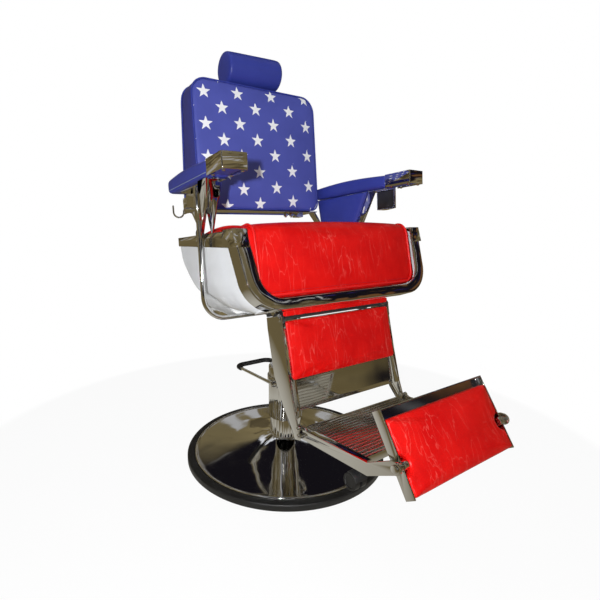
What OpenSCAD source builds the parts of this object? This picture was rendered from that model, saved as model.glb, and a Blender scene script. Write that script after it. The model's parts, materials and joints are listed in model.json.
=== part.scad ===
// Hydraulic barber chair with a fold-over kick plate.
// Millimetres, +Z up. The sitter faces -Y, so the sitter's right hand is at -X.
// Origin: centre of the base, on the floor.

/* [Base] */
// Diameter over the rubber floor ring
base_d = 650; // [600:10:720]
// Height of the rubber floor ring
ring_h = 20; // [14:1:28]
// Radial width of the rubber floor ring
ring_w = 24; // [18:1:36]
// Height at which the dish meets the neck sleeve
dish_h = 62; // [52:1:80]
// Sheet thickness of the dish
dish_wall = 3; // [2:0.5:5]
// Diameter of the neck sleeve
neck_d = 102; // [98:1:106]
// Diameter of the pump cover
cover_d = 112; // [110:1:124]
// Height of the top of the pump cover
cover_top = 300; // [280:2:320]

/* [Lift] */
// Diameter of the ram
ram_d = 60; // [50:1:66]
// How far the seat sinks from this height
lift_down = 120; // [80:5:125]
// How far the seat rises from this height
lift_up = 30; // [10:5:50]
// Height of the pump bar's pivot
bar_pivot_z = 255; // [230:1:270]
// Reach of the pump bar from its pivot to its cross bar
bar_reach = 246; // [200:2:270]
// Diameter of the pump bar's rod
bar_rod_d = 10; // [8:0.5:12]
// Diameter of the rubber grip on the cross bar
grip_d = 17; // [15:0.5:22]

/* [Seat] */
// Height of the seat frame's front top edge above the floor
seat_h = 740; // [720:2:780]
// How far that edge lies in front of the column
seat_front = 237; // [225:1:255]
// Width over the front moulding, at its top
seat_w = 628; // [600:2:660]
// How much narrower the moulding is at its foot
seat_taper = 36; // [0:2:50]
// Depth of the seat pan, front to back
seat_d = 333; // [320:1:380]
// Height of the seat's front
pan_h = 187; // [176:1:200]
// How much deeper the pan is than its front
pan_drop = 23; // [16:1:32]
// Backward tilt of the whole seat, degrees
seat_tilt = 5; // [2:0.5:8]
// Forward lean of the front moulding, degrees
front_lean = 14.8; // [8:0.2:18]
// Corner radius of the front moulding
corner_r = 86; // [60:1:90]
// Width of the moulding's front face along its foot
moulding_w = 26; // [20:1:34]
// Width of the moulding's front face at its sides
moulding_side_w = 35; // [28:1:42]
// Depth of the moulding's side face
moulding_d = 40; // [28:1:52]
// Sheet thickness of the pan
pan_wall = 2.5; // [1.5:0.5:4]
// Crown of the seat cushion above the frame
cushion_rise = 20; // [8:1:40]

/* [Arms] */
// Length of an arm
arm_l = 404; // [340:2:420]
// Width of an arm
arm_w = 64; // [54:1:70]
// Thickness of an arm
arm_t = 38; // [32:1:48]
// Height of an arm's top above the seat frame
arm_h = 168; // [150:1:200]
// Distance between the outer faces of the arms, at their front
arm_span = 668; // [660:2:690]
// How far each arm turns inwards towards the back, degrees
arm_toe = 3; // [0:0.5:5]
// Crown of an arm pad above its ends
arm_crown = 9; // [0:1:14]
// Length of the metal end cap
cap_l = 93; // [70:1:110]

/* [Back] */
// Width of the back cushion
back_w = 456; // [400:2:470]
// Height of the back cushion
back_h = 386; // [340:2:440]
// Thickness of the back at its top
back_t_top = 85; // [80:1:100]
// Thickness of the back at its foot
back_t_foot = 130; // [110:1:140]
// Lean of the back at rest, degrees
back_lean = 6.5; // [2:0.5:10]
// Diameter of the headrest roll
roll_d = 100; // [90:1:120]
// Length of the headrest roll
roll_l = 206; // [180:2:260]

/* [Leg rest] */
// Forward lean of the leg rest, degrees
leg_lean = 15; // [10:0.5:20]
// Distance between the outer faces of the side channels
leg_span = 380; // [372:1:390]
// Height of the leg pad
leg_pad_h = 150; // [120:1:170]
// Length of the ribbed foot plate
foot_l = 210; // [180:1:216]
// Upward slope of the foot plate, degrees
foot_slope = 5.5; // [0:0.5:8]
// Distance between two ribs of the foot plate
rib_pitch = 12.5; // [10:0.5:16]
// Diameter of a caster wheel
caster_d = 42; // [36:1:46]

/* [Kick plate] */
// Width of the kick plate
kick_w = 340; // [300:2:346]
// Length of the kick plate
kick_l = 170; // [150:1:180]
// Depth of the kick plate's tray
kick_d = 24; // [18:1:28]
// Slope of the kick plate at rest, degrees
kick_lean = 34; // [20:1:45]

/* [Hidden] */
$fn = 64;
eps = 0.01;
run_fit = 0.05;       // radial clearance of a turning or sliding fit
side_gap = 0.5;       // gap between flat faces that move past each other
pin_r = 5;            // radius of every hinge pin
chrome = "silver";
steel = "dimgray";
blue = "mediumblue";
red = "crimson";
enamel = "whitesmoke";
rubber = "black";

// ---------- points and frames ----------
function turn2(v, a) = [v[0] * cos(a) - v[1] * sin(a), v[0] * sin(a) + v[1] * cos(a)];
// [y, z] in the room of a point given in the seat's tilted frame
function seat_pt(p) = [-seat_front, seat_h] + turn2(p, -seat_tilt);
function arc_pts(c, r, a0, a1, n) = [for (i = [0:n]) c + r * [cos(a0 + (a1 - a0) * i / n), sin(a0 + (a1 - a0) * i / n)]];

// the seat's frame: u runs back from the front top edge, w runs up from it
module in_seat() translate([0, -seat_front, seat_h]) rotate([-seat_tilt, 0, 0]) children();
// the moulding's frame: it leans forward going down
front_out = -4;
function front_pt(p) = [front_out, 0] + turn2(p, -front_lean);
module in_front() in_seat() translate([0, front_out, 0]) rotate([-front_lean, 0, 0]) children();

// hinge points in the seat's frame
pan_low = pan_h + pan_drop;
leg_at = [22, -pan_low + 11];
leg_hinge = [14, -pan_low - 7];
link_foot = leg_hinge + [38, -26];
back_hinge = [seat_d + 29, 12];
crank_r = 37.032;
crank_a = -31.48;
link_head = back_hinge + crank_r * [cos(crank_a), sin(crank_a)];
release_axis = [138, -pan_low - 6];
leg_hinge_yz = seat_pt(leg_hinge);
leg_at_yz = seat_pt(leg_at);
back_hinge_yz = seat_pt(back_hinge);

// the back's frame: t runs back from its face, v runs up it
back_foot = back_hinge_yz + [5, 77];
module in_back() translate([0, back_foot[0], back_foot[1]]) rotate([-back_lean, 0, 0]) children();
function to_back(p) = turn2(seat_pt(p) - back_foot, back_lean);

// the leg rest's frame: -z runs down the channels
module in_leg() translate([0, leg_at_yz[0], leg_at_yz[1]]) rotate([-leg_lean, 0, 0]) children();
function leg_pt(p) = leg_at_yz + turn2(p, -leg_lean);
function to_leg(p) = turn2(seat_pt(p) - leg_at_yz, leg_lean);
h_leg = to_leg(leg_hinge);

// the foot plate's frame: -y runs forward from its rear edge, along its top
foot_at = [-13, -291];
foot_yz = leg_pt(foot_at);
module in_foot() translate([0, foot_yz[0], foot_yz[1]]) rotate([-foot_slope, 0, 0]) children();
function foot_pt(p) = foot_yz + turn2(p, -foot_slope);

// the kick plate's frame, at its pivot
kick_reach = foot_l + 95;
kick_rise = 20;
kick_yz = foot_pt([-kick_reach, kick_rise]);
module in_kick() translate([0, kick_yz[0], kick_yz[1]]) rotate([-kick_lean, 0, 0]) children();

// ---------- shared shapes ----------
module both_sides() { children(); mirror([1, 0, 0]) children(); }
// a plate standing across X, drawn as [y, z]
module plate_x(x, t) translate([x, 0, 0]) rotate([90, 0, 90]) linear_extrude(t) children();
// a round bar along X
module rod_x(x0, x1, p, r) translate([x0, p[0], p[1]]) rotate([0, 90, 0]) cylinder(r = r, h = x1 - x0);
// a flat bar between two points, with round ends
module link2d(p, q, w) {
    d = q - p;
    translate(p) circle(d = w);
    translate(q) circle(d = w);
    translate(p) rotate(atan2(d[1], d[0])) translate([0, -w / 2 + 0.25]) square([norm(d), w - 0.5]);
}
// a quarter bend of a rod: from -Y, centred on the bend's centre
module bend(r, rod, a = 90) rotate_extrude(angle = a) translate([r, 0]) circle(r = rod);
// rectangle with round corners, exact arcs
module round_rect(x0, y0, x1, y1, r) {
    translate([x0 + r, y0]) square([x1 - x0 - 2 * r, y1 - y0]);
    translate([x0, y0 + r]) square([x1 - x0, y1 - y0 - 2 * r]);
    for (x = [x0 + r, x1 - r], y = [y0 + r, y1 - r]) translate([x, y]) circle(r = r);
}
// the U of the seat's front: sides that draw in going down, round lower corners, open top
module u_shape(top, low, h, r) {
    lean = atan((top - low) / h);
    cx = low + r * tan(lean) - r / cos(lean);
    foot = [cx, -h + r] + r * [cos(lean), -sin(lean)];
    polygon([[-top, 0], [-foot[0], foot[1]], [-cx, -h], [cx, -h], foot, [top, 0]]);
    for (s = [-1, 1]) translate([s * cx, -h + r]) circle(r = r, $fn = 96);
}
// a closed solid through rings of points: each ring has the same count
module rings(rows) {
    n = len(rows[0]);
    m = len(rows);
    mid_a = [for (k = [0:2]) [for (p = rows[0]) p[k]] * [for (i = [1:n]) 1] / n];
    mid_b = [for (k = [0:2]) [for (p = rows[m - 1]) p[k]] * [for (i = [1:n]) 1] / n];
    side = [for (j = [0:m - 2], i = [0:n - 1]) let (a = j * n + i, b = j * n + (i + 1) % n)
        each [[a, a + n, b], [b, a + n, b + n]]];
    caps = [for (i = [0:n - 1]) each [[m * n, i, (i + 1) % n],
        [m * n + 1, (m - 1) * n + (i + 1) % n, (m - 1) * n + i]]];
    polyhedron([for (row = rows) each row, mid_a, mid_b], concat(side, caps));
}
// n points round a rectangle with round corners: half width a, from low to high, corner radii
function pad_outline(a, lo, hi, r_lo, r_hi, n) = let (q = n / 4) [
    for (i = [0:q - 1]) [a - r_lo, lo + r_lo] + r_lo * [cos(-90 + 90 * i / (q - 1)), sin(-90 + 90 * i / (q - 1))],
    for (i = [0:q - 1]) [a - r_hi, hi - r_hi] + r_hi * [cos(90 * i / (q - 1)), sin(90 * i / (q - 1))],
    for (i = [0:q - 1]) [-a + r_hi, hi - r_hi] + r_hi * [cos(90 + 90 * i / (q - 1)), sin(90 + 90 * i / (q - 1))],
    for (i = [0:q - 1]) [-a + r_lo, lo + r_lo] + r_lo * [cos(180 + 90 * i / (q - 1)), sin(180 + 90 * i / (q - 1))]];
// superellipse share: 1 in the middle, 0 at the end
function swell(x, n) = pow(max(0, 1 - pow(abs(x), n)), 1 / n);

// ---------- base ----------
base_r = base_d / 2;
rim_r = base_r - ring_w;
bead_r = 4;
groove = 12;
neck_r = neck_d / 2;
cover_r = cover_d / 2;
cover_wall = 2.5;
cover_low = dish_h + 64;
ram_r = ram_d / 2;
cylinder_r = neck_r - 6;
dish_pts = 28;
function dish_z(r) = let (t = (rim_r - groove - r) / (rim_r - groove - neck_r))
    ring_h + 1 + (dish_h - ring_h - 1) * (0.35 * t + 0.65 * pow(t, 3.2));

module floor_ring() color(rubber) rotate_extrude($fn = 128) difference() {
    translate([rim_r, 0]) square([ring_w, ring_h]);
    translate([base_r - 5, ring_h - 5]) difference() {
        square(6);
        circle(r = 5);
    }
}
module base_dish() color(chrome) rotate_extrude($fn = 128) {
    outer = [for (i = [0:dish_pts]) let (r = rim_r - groove - (rim_r - groove - neck_r) * i / dish_pts) [r, dish_z(r)]];
    inner = [for (i = [dish_pts:-1:0]) outer[i] - [0, dish_wall]];
    polygon(concat([[rim_r - dish_wall, 5], [rim_r - 0.2, 5], [rim_r - 0.2, ring_h]],
        arc_pts([rim_r - 0.2 - bead_r, ring_h], bead_r, 20, 160, 8), outer, inner,
        [[rim_r - groove, ring_h - dish_wall], [rim_r - dish_wall, ring_h - dish_wall - 2]]));
}
module base_plate() color(steel) difference() {
    cylinder(r = rim_r - dish_wall - 1, h = 8, $fn = 96);
    for (a = [45:90:359]) rotate(a) translate([base_r * 0.6, 0, -1]) cylinder(r = 6, h = 10);
}
module neck_sleeve() color(chrome) difference() {
    translate([0, 0, dish_h + 0.2]) union() {
        cylinder(r = neck_r + 1.5, h = 4);
        cylinder(r = neck_r, h = cover_low + 30 - dish_h);
    }
    translate([0, 0, dish_h - 1]) cylinder(r = neck_r - 3, h = cover_low + 40);
}
module pump_cover() color(chrome) difference() {
    union() {
        translate([0, 0, cover_low]) cylinder(r = cover_r, h = cover_top - cover_low - 4);
        translate([0, 0, cover_top - 4]) cylinder(r1 = cover_r, r2 = cover_r - 4, h = 4, $fn = 64);
    }
    translate([0, 0, cover_low - 1]) cylinder(r = cover_r - cover_wall, h = cover_top - cover_low - 4);
    cylinder(r = ram_r + 2, h = cover_top + 1);
}
module pump_cylinder() color(steel) difference() {
    union() {
        translate([0, 0, 8]) cylinder(r = cylinder_r + 30, h = 10);
        translate([0, 0, 8]) cylinder(r = cylinder_r, h = cover_top - 16);
    }
    translate([0, 0, 22]) cylinder(r = ram_r + run_fit, h = cover_top);
}

// ---------- pump bar ----------
clamp_h = 24;
bar_y = -29;
bar_x = cover_r + 12;
bar_bend = 27;
bar_rod = bar_rod_d / 2;
bar_tilt = -2.5;
grip_start = bar_reach - bar_bend - 14;

module bar_clamp() color(chrome) difference() {
    union() {
        translate([0, 0, bar_pivot_z - clamp_h / 2]) cylinder(r = cover_r + 4, h = clamp_h);
        both_sides() translate([cover_r - 8, bar_y - 11, bar_pivot_z - clamp_h / 2]) cube([14, 22, clamp_h]);
        both_sides() rod_x(cover_r, bar_x + 8, [bar_y, bar_pivot_z], 4);
        both_sides() rod_x(bar_x + 5 + side_gap, bar_x + 10, [bar_y, bar_pivot_z], 8);
    }
    translate([0, 0, bar_pivot_z - clamp_h]) cylinder(r = cover_r + 0.1, h = 2 * clamp_h);
}
module in_bar() translate([0, bar_y, bar_pivot_z]) rotate([bar_tilt, 0, 0]) children();
module bar_path(r, start) both_sides() {
    translate([bar_x, start, 0]) rotate([-90, 0, 0]) cylinder(r = r, h = bar_reach - bar_bend - start);
    translate([bar_x - bar_bend, bar_reach - bar_bend, 0]) bend(bar_bend, r);
    translate([-eps, bar_reach, 0]) rotate([0, 90, 0]) cylinder(r = r, h = bar_x - bar_bend + eps);
}
module pump_bar() color(chrome) in_bar() difference() {
    union() {
        bar_path(bar_rod, 4);
        both_sides() rod_x(bar_x - 5, bar_x + 5, [0, 0], 10);
    }
    both_sides() rod_x(bar_x - 6, bar_x + 6, [0, 0], 4 + run_fit);
}
module pump_grip() color(rubber) in_bar() difference() {
    bar_path(grip_d / 2, grip_start);
    bar_path(bar_rod + 0.1, grip_start - 1);
}

// ---------- lift ----------
mount_z = seat_pt([241, -pan_h - 28])[1];
plate_t = 8;
ram_foot = 30 + lift_down;
module ram() color(chrome) translate([0, 0, ram_foot]) cylinder(r = ram_r, h = mount_z - plate_t - 0.3 - ram_foot);

module seat_mount() color(steel) difference() {
    union() {
        translate([-frame_x, -80, mount_z - plate_t]) cube([2 * frame_x, 190, plate_t]);
        translate([0, 0, mount_z - plate_t - 38]) cylinder(r = ram_r + 14, h = 39);
        for (a = [0:90:359]) rotate(a) translate([ram_r + 8, -4, mount_z - plate_t - 30]) cube([34, 8, 31]);
    }
    translate([0, 0, mount_z - plate_t - 40]) cylinder(r = ram_r + run_fit, h = 40);
}

// ---------- seat frame ----------
frame_x = 120;           // inner face of an underframe side plate
frame_t = 6;
leg_x = leg_span / 2;    // outer face of a leg channel
web_t = 4;
ear_x = leg_x - web_t - side_gap - 5;
link_x = 150;            // inner face of a recline link
link_t = 5;
hinge_x = back_w / 2 + 1.5;   // inner face of a hinge lug of the back
hinge_t = 4;
hinge_arm_x = hinge_x + hinge_t + 1.5;
hinge_arm_t = 6;
front_tube = leg_hinge + [22, 0];
rear_tube = back_hinge + [0, -140];
rear_drop = 86;          // where the bottom arc would meet the rear edge
pan_rise = pan_low - rear_drop;
pan_run = seat_d - 100;
// circle that is level at the pan's lowest line, meets the rear edge and runs on into the sloping front
pan_arc_r = (pan_run * pan_run + pan_rise * pan_rise) / (2 * pan_rise);
pan_arc_c = [100, -pan_low + pan_arc_r];
function pan_arc(off, n) = let (a1 = asin(pan_run / pan_arc_r))
    arc_pts(pan_arc_c, pan_arc_r + off, -90 - front_lean, -90 + a1, n);

module underframe_side() {
    top = pan_arc(2, 12);
    plate_x(frame_x, frame_t) polygon(concat(
        [[-128, mount_z - plate_t], seat_pt(front_tube + [-6, -14])],
        [for (i = [1:11]) seat_pt(top[i])],
        [seat_pt(rear_tube + [16, 6]), seat_pt(rear_tube + [8, -18]), [112, mount_z - plate_t]]));
    tube_yz = seat_pt(front_tube);
    plate_x(ear_x, 5) link2d(tube_yz, leg_hinge_yz, 20);
    plate_x(hinge_arm_x, hinge_arm_t) link2d(seat_pt(rear_tube), back_hinge_yz, 27);
}
module underframe() color(steel) difference() {
    union() {
        both_sides() underframe_side();
        rod_x(-ear_x - 5, ear_x + 5, seat_pt(front_tube), 9);
        rod_x(-hinge_arm_x - hinge_arm_t, hinge_arm_x + hinge_arm_t, seat_pt(rear_tube), 12.5);
        rod_x(-frame_x - 30, -frame_x + 4, seat_pt(release_axis), 8);
    }
    both_sides() rod_x(ear_x - 1, ear_x + 6, leg_hinge_yz, pin_r);
    both_sides() rod_x(hinge_arm_x - 1, hinge_arm_x + hinge_arm_t + 1, back_hinge_yz, pin_r);
    rod_x(-frame_x - 31, -frame_x + 5, seat_pt(release_axis), release_rod + run_fit);
}
module hinge_pins() color(chrome) both_sides() {
    rod_x(ear_x - 3, leg_x + 0.5, leg_hinge_yz, pin_r);
    rod_x(leg_x + 0.3, leg_x + 2.8, leg_hinge_yz, 8);
    rod_x(hinge_x - 0.6, hinge_arm_x + hinge_arm_t + 1, back_hinge_yz, pin_r);
    rod_x(hinge_x - 3.6, hinge_x - 0.4, back_hinge_yz, 8);
}

seat_hw = seat_w / 2;
pan_hw = seat_hw - 4;
band_t = 3;
band_front_h = 39;
band_rear_h = 22;
pan_top = -8;            // top edge of the pan, behind the band
slot_w = link_t + 8;
pan_fillet = 46;
fillet_reach = pan_arc_r - pan_fillet;
fillet_c = [seat_d - pan_fillet, pan_arc_c[1] - sqrt(pow(fillet_reach, 2) - pow(seat_d - pan_fillet - pan_arc_c[0], 2))];
fillet_a = atan2(fillet_c[1] - pan_arc_c[1], fillet_c[0] - pan_arc_c[0]);
// bottom line of the pan: sloping front, arc, rounded rear edge
function pan_line(off) = let (arc = arc_pts(pan_arc_c, pan_arc_r + off, -90 - front_lean, fillet_a, 10))
    concat([arc[0] + [-64, 64 * tan(front_lean)]], arc, [for (i = [1:4]) fillet_c + (pan_fillet + off) * [cos(fillet_a * (1 - i / 4)), sin(fillet_a * (1 - i / 4))]]);
// one cross-section: a U, cut level at the bottom line, with a rounded edge there
function pan_ring(line, i, inset) =
    let (n = len(line) - 1, out = i == 0 && inset > 0 ? [-9, 2] : [0, 0], foot = line[i] + out,
        top = [0.3 + (seat_d - inset - 0.3) * i / n, 0] + out, deep = norm(foot - top), k = min(1, i / 3),
        hv = max(deep, deep * (1 - k) + (pan_low - inset) * k), r = corner_r - 2 + 16 * k - inset, lean = atan(seat_taper / 2 / pan_h),
        low = pan_hw - inset - hv * tan(lean), cx = low + r * tan(lean) - r / cos(lean), rc = min(20, 1 + 0.7 * (hv - deep)), e = deep - rc,
        side = function(d) pan_hw - inset - max(0, d) * tan(lean),
        wall = e > hv - r
            ? [for (j = [0:6]) let (a = lean + (asin(min(1, (e - hv + r) / r)) - lean) * j / 6) [cx + r * cos(a), hv - r + r * sin(a)]]
            : [for (j = [0:6]) let (d = e * (0.4 + 0.6 * j / 6)) [side(d), d]],
        last = wall[6],
        half = concat([[pan_hw - inset, -30], [side(0.3 * e), 0.3 * e]], wall, [last + [-0.29 * rc, 0.71 * rc], last + [-rc, rc]]),
        m = len(half) - 1)
    [for (q = concat(half, [for (j = [m:-1:0]) [-half[j][0], half[j][1]]])) let (g = top + (foot - top) * q[1] / deep) [q[0], g[0], g[1]]];
module pan_form(inset) let (line = pan_line(-inset)) rings([for (i = [0:len(line) - 1]) pan_ring(line, i, inset)]);
module seat_pan() color(enamel) difference() {
    in_seat() pan_form(0);
    in_seat() pan_form(pan_wall);
    in_seat() translate([-seat_hw, -100, pan_top]) cube([seat_w, seat_d + 200, 60]);
    in_seat() both_sides() {
        translate([link_x - 4, 74, -pan_low - 8]) cube([slot_w, 64, 40]);
        translate([link_x - 4, seat_d - 40, -80]) cube([slot_w, 60, 52]);
    }
}
module band_outline() let (a = front_pt([moulding_d + 0.2, -0.5]), b = front_pt([moulding_d + 0.2, -30]))
    polygon([[a[0] + 0.3, -0.5], [seat_d, -0.5], [seat_d, -band_rear_h - 2], [b[0], b[1]], a]);
module seat_band() color(chrome) in_seat() {
    both_sides() plate_x(pan_hw + 0.1, band_t) band_outline();
    translate([-pan_hw - 1, seat_d - 6, -3]) cube([2 * pan_hw + 2, 6, 2.5]);
    both_sides() translate([pan_hw - 16, 42, -3]) cube([17, seat_d - 42, 2.5]);
}
moulding_h = pan_h / cos(front_lean) - 2;
module front_moulding() color(chrome) in_front() rotate([90, 0, 0]) {
    translate([0, 0, -moulding_d]) linear_extrude(moulding_d) difference() {
        u_shape(seat_hw, seat_hw - seat_taper / 2, moulding_h, corner_r);
        translate([0, eps]) u_shape(seat_hw - 3, seat_hw - seat_taper / 2 - 3, moulding_h - 3 + eps, corner_r - 3);
    }
    translate([0, 0, -3]) linear_extrude(3) difference() {
        u_shape(seat_hw, seat_hw - seat_taper / 2, moulding_h, corner_r);
        translate([0, 1]) u_shape(seat_hw - moulding_side_w, seat_hw - seat_taper / 2 - moulding_side_w,
            moulding_h - moulding_w + 1, corner_r - moulding_w);
    }
}
// a cap over each top corner: front face leaning with the moulding, side face along the band
cap_depth = 46;
cap_front_h = 41;
module cap_side(inset) polygon([
    [front_out - 2 + inset, 3 - inset], front_pt([-2 + inset, -cap_front_h]),
    [cap_depth, -band_front_h + 1.5], [cap_depth, 3 - inset]]);
module corner_caps() color(chrome) in_seat() both_sides() difference() {
    plate_x(seat_hw - moulding_side_w - 1, moulding_side_w + 3.2) cap_side(0);
    plate_x(seat_hw - moulding_side_w - 2, moulding_side_w + 3) translate([0, -0.01]) cap_side(1.8);
}
module seat_board() color("burlywood") in_seat() translate([-265, 44, -53.1]) cube([530, seat_d - 80, 12]);
module front_apron() color(red) in_seat() translate([-leg_x + 7, 2, -pan_low - 2]) cube([2 * leg_x - 14, 4, 13.5]);

// the seat cushion: a side outline, swollen along X, with a crown and a front roll
cushion_hw = seat_hw - moulding_w - 10;
cushion_low = -pan_h + 22;
cushion_n = 44;
cushion_mid = [60, -70];
board_w = -41;
// rear arc, crown, front arc, then down to the board's level
function cushion_side() = let (rear = seat_d - 14) concat(
    arc_pts([rear - 22, -16], 22, 0, 80, 5),
    [for (i = [1:9]) let (s = i / 10) [rear - 22 - (rear - 60) * s, 4 + (cushion_rise - 4) * sin(150 * s)]],
    arc_pts([24, cushion_rise - 36], 34, 84, 160, 7),
    [[-12, -27], [-14, board_w], [40, board_w], [120, board_w], [200, board_w], [260, board_w], [rear - 12, board_w]]);
// front roll: hangs from the board's level down the front of the seat
function roll_side() = concat([[-14, board_w], [-22, (cushion_low + board_w) / 2], [-29, cushion_low + 24]],
    arc_pts([-14, cushion_low + 16], 16, 190, 280, 6), [[8, cushion_low + 4], [20, cushion_low + 40], [30, board_w - 12], [30, board_w]]);
module swollen(side, low, high) in_seat() rings([for (k = [-10:10]) let (x = k / 10)
    [for (p = side) let (q = cushion_mid + (p - cushion_mid) * (0.45 + 0.55 * swell(sin(90 * x) * 0.999, 5)))
        [cushion_hw * sin(90 * x), q[0], min(high, max(low, q[1]))]]]);
module seat_cushion() color(red) swollen(cushion_side(), board_w, 999);
module front_roll() color(red) swollen(roll_side(), -999, board_w - 0.2);

// ---------- arms ----------
arm_x = arm_span / 2;          // outer face of an arm
arm_in = arm_x - arm_w;
arm_low = arm_h - arm_t;
rail_t = 4;
arm_front = -12;
leg_strap_x = seat_hw - 0.7;   // inner face of the outer leg, on the seat band
leg_strap_t = 8.6;
panel_x = arm_in - 4;
panel_t = 15;
panel_plate_t = 3;
panel_foot = 26;
arm_rail_y = [84, arm_l - 70];
arm_pivot = [arm_x - arm_w / 2, arm_front, 0];
// an arm's frame: turned inwards about its front end
module in_arm() in_seat() translate(arm_pivot) rotate([0, 0, arm_toe]) translate(-arm_pivot) children();

module arm_outer_leg() plate_x(leg_strap_x, leg_strap_t) polygon([
    [101, arm_low - 0.3], [117, 68], [152, -3], [157, -32], [180, -32], [177, -3], [166, 36], [176, 50], [176, 80],
    [160, 92], [150, arm_low - 0.3]]);
// bent sheet from the inner panel's edge out to the outer leg, wide at the top, one corner at its foot
module arm_web(t = 2.5) {
    top = arm_low - rail_t + 1;
    outer = leg_strap_x + 1;
    // drawn as [x, w]; u follows from the sheet's plane
    face = [for (q = [[outer, top], [arm_in + 5, top], [arm_in + 11, 31], [arm_in + 14, -0.4], [arm_in + 22, -0.4], [outer, 56]])
        [q[0], 103 - 0.458 * (q[0] - outer) - 0.315 * (q[1] - top), q[1]]];
    n = len(face);
    polyhedron(concat(face, [for (p = face) p + [-t * 0.4, t, 0]]), concat([[for (i = [n - 1:-1:0]) i], [for (i = [0:n - 1]) i + n]],
        [for (i = [0:n - 1]) [i, (i + 1) % n, (i + 1) % n + n, i + n]]));
}
module arm_rail() translate([panel_x + panel_t, arm_rail_y[0], arm_low - rail_t]) cube([arm_w - 29, arm_rail_y[1] - arm_rail_y[0], rail_t - 0.3]);
module arm_screw_holes() for (w = [-20, -8]) rod_x(seat_hw - 3, seat_hw + 12, [167, w], 2.5);
// the right arm stands on its outer leg and the sheet; its inner plate is short
module arm_bracket_right() color(chrome) mirror([1, 0, 0]) difference() {
    union() {
        in_seat() arm_outer_leg();
        in_seat() arm_web();
        in_seat() translate([arm_x - 34, 88, arm_low - rail_t]) cube([leg_strap_x - arm_x + 35, 46, rail_t - 0.3]);
        in_arm() arm_rail();
        in_arm() plate_x(panel_x + panel_t, panel_plate_t) polygon([
            [124, arm_low - 1], [130, 92], [156, 74], [372, 74], [388 - 8, arm_low - 1]]);
    }
    in_seat() arm_screw_holes();
}
// the left arm's inner plate reaches down to two feet on the seat's side rail
module arm_bracket_left() color(chrome) difference() {
    union() {
        in_arm() arm_rail();
        in_arm() plate_x(panel_x + panel_t, panel_plate_t) polygon([
            [124, arm_low - 1], [184, panel_foot - 2], [arm_l - 78, panel_foot - 2], [arm_l - 24, arm_low - 1]]);
        in_seat() for (u = [206, 286]) {
            translate([arm_in - 6, u, panel_foot - 3.2]) cube([34, 30, 3]);
            translate([arm_in + 25, u, -0.4]) cube([3, 30, panel_foot]);
            translate([arm_in + 25, u, -0.4]) cube([14, 30, 3]);
        }
    }
    in_seat() for (u = [221, 301]) translate([arm_in + 34, u, -5]) cylinder(r = 2.5, h = 20);
}

// padded inner panel: an outline that tapers to the foot, domed towards the sitter
panel_tall = [[157, arm_low - 2], [213, panel_foot], [arm_l - 78, panel_foot], [arm_l - 20, arm_low - 2]];
panel_short = [[136, arm_low - 2], [162, 76], [arm_l - 38, 76], [arm_l - 20, arm_low - 2]];
function panel_ring(shape, inset, x, n) = let (c = (shape[0] + shape[1] + shape[2] + shape[3]) / 4)
    [for (e = [0:3], i = [0:n - 1]) let (p = shape[e] + (shape[(e + 1) % 4] - shape[e]) * i / n,
        d = p - c, r = norm(d)) [x, c[0] + d[0] * (r - inset) / r, c[1] + d[1] * (r - inset) / r]];
module side_panel(shape) color(blue) in_arm() rings([
    panel_ring(shape, 20, panel_x, 6), panel_ring(shape, 11, panel_x + 1, 6),
    panel_ring(shape, 4, panel_x + 3, 6), panel_ring(shape, 0.5, panel_x + 7, 6),
    panel_ring(shape, 0, panel_x + panel_t - 4, 6), panel_ring(shape, 1, panel_x + panel_t - 0.3, 6)]);
module side_panel_left() side_panel(panel_tall);
module side_panel_right() mirror([1, 0, 0]) side_panel(panel_short);

// arm pad: rings along the arm, narrower inside the cap, round in plan at the rear
cap_wall = 2;
pad_x = arm_x - arm_w / 2;
function arm_ring(u, hw, lo, hi, n) = [for (i = [n - 1:-1:0]) let (a = 360 * i / n, c = cos(a), s = sin(a))
    [pad_x + hw * sign(c) * pow(abs(c), 0.35), u, (lo + hi) / 2 + (hi - lo) / 2 * sign(s) * pow(abs(s), 0.45)]];
module arm_pad() color(blue) {
    rear = arm_l + arm_front;
    hw = arm_w / 2;
    inner = cap_wall + 0.6;
    low = arm_low + 0.3;
    in_arm() rings(concat(
        [for (u = [arm_front + inner + 1, arm_front + cap_l / 2, arm_front + cap_l - 1]) arm_ring(u, hw - inner, low + inner, arm_h - inner, 24)],
        [arm_ring(arm_front + cap_l + 1, hw - 0.5, low, arm_h, 24)],
        [for (u = [115, 170, 230, 290, rear - 36]) arm_ring(u, hw, low, arm_h + arm_crown * sin(180 * (u - 80) / (rear - 60)), 24)],
        [for (a = [20, 40, 58, 74, 86]) arm_ring(rear - 32 + 32 * sin(a), hw * (0.2 + 0.8 * cos(a)), low + 5 * (1 - cos(a)), arm_h + 2 - 10 * (1 - cos(a)), 24)]));
}
module arm_pad_left() arm_pad();
module arm_pad_right() mirror([1, 0, 0]) arm_pad();
module arm_cap() color(chrome) in_arm() translate([arm_in, arm_front, arm_low]) difference() {
    translate([0, 0, 0.2]) linear_extrude(arm_t) round_rect(0, 0, arm_w, cap_l, 3);
    translate([cap_wall, cap_wall, -1]) cube([arm_w - 2 * cap_wall, cap_l, arm_t - cap_wall + 1.2]);
}
module arm_cap_left() arm_cap();
module arm_cap_right() mirror([1, 0, 0]) arm_cap();

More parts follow.
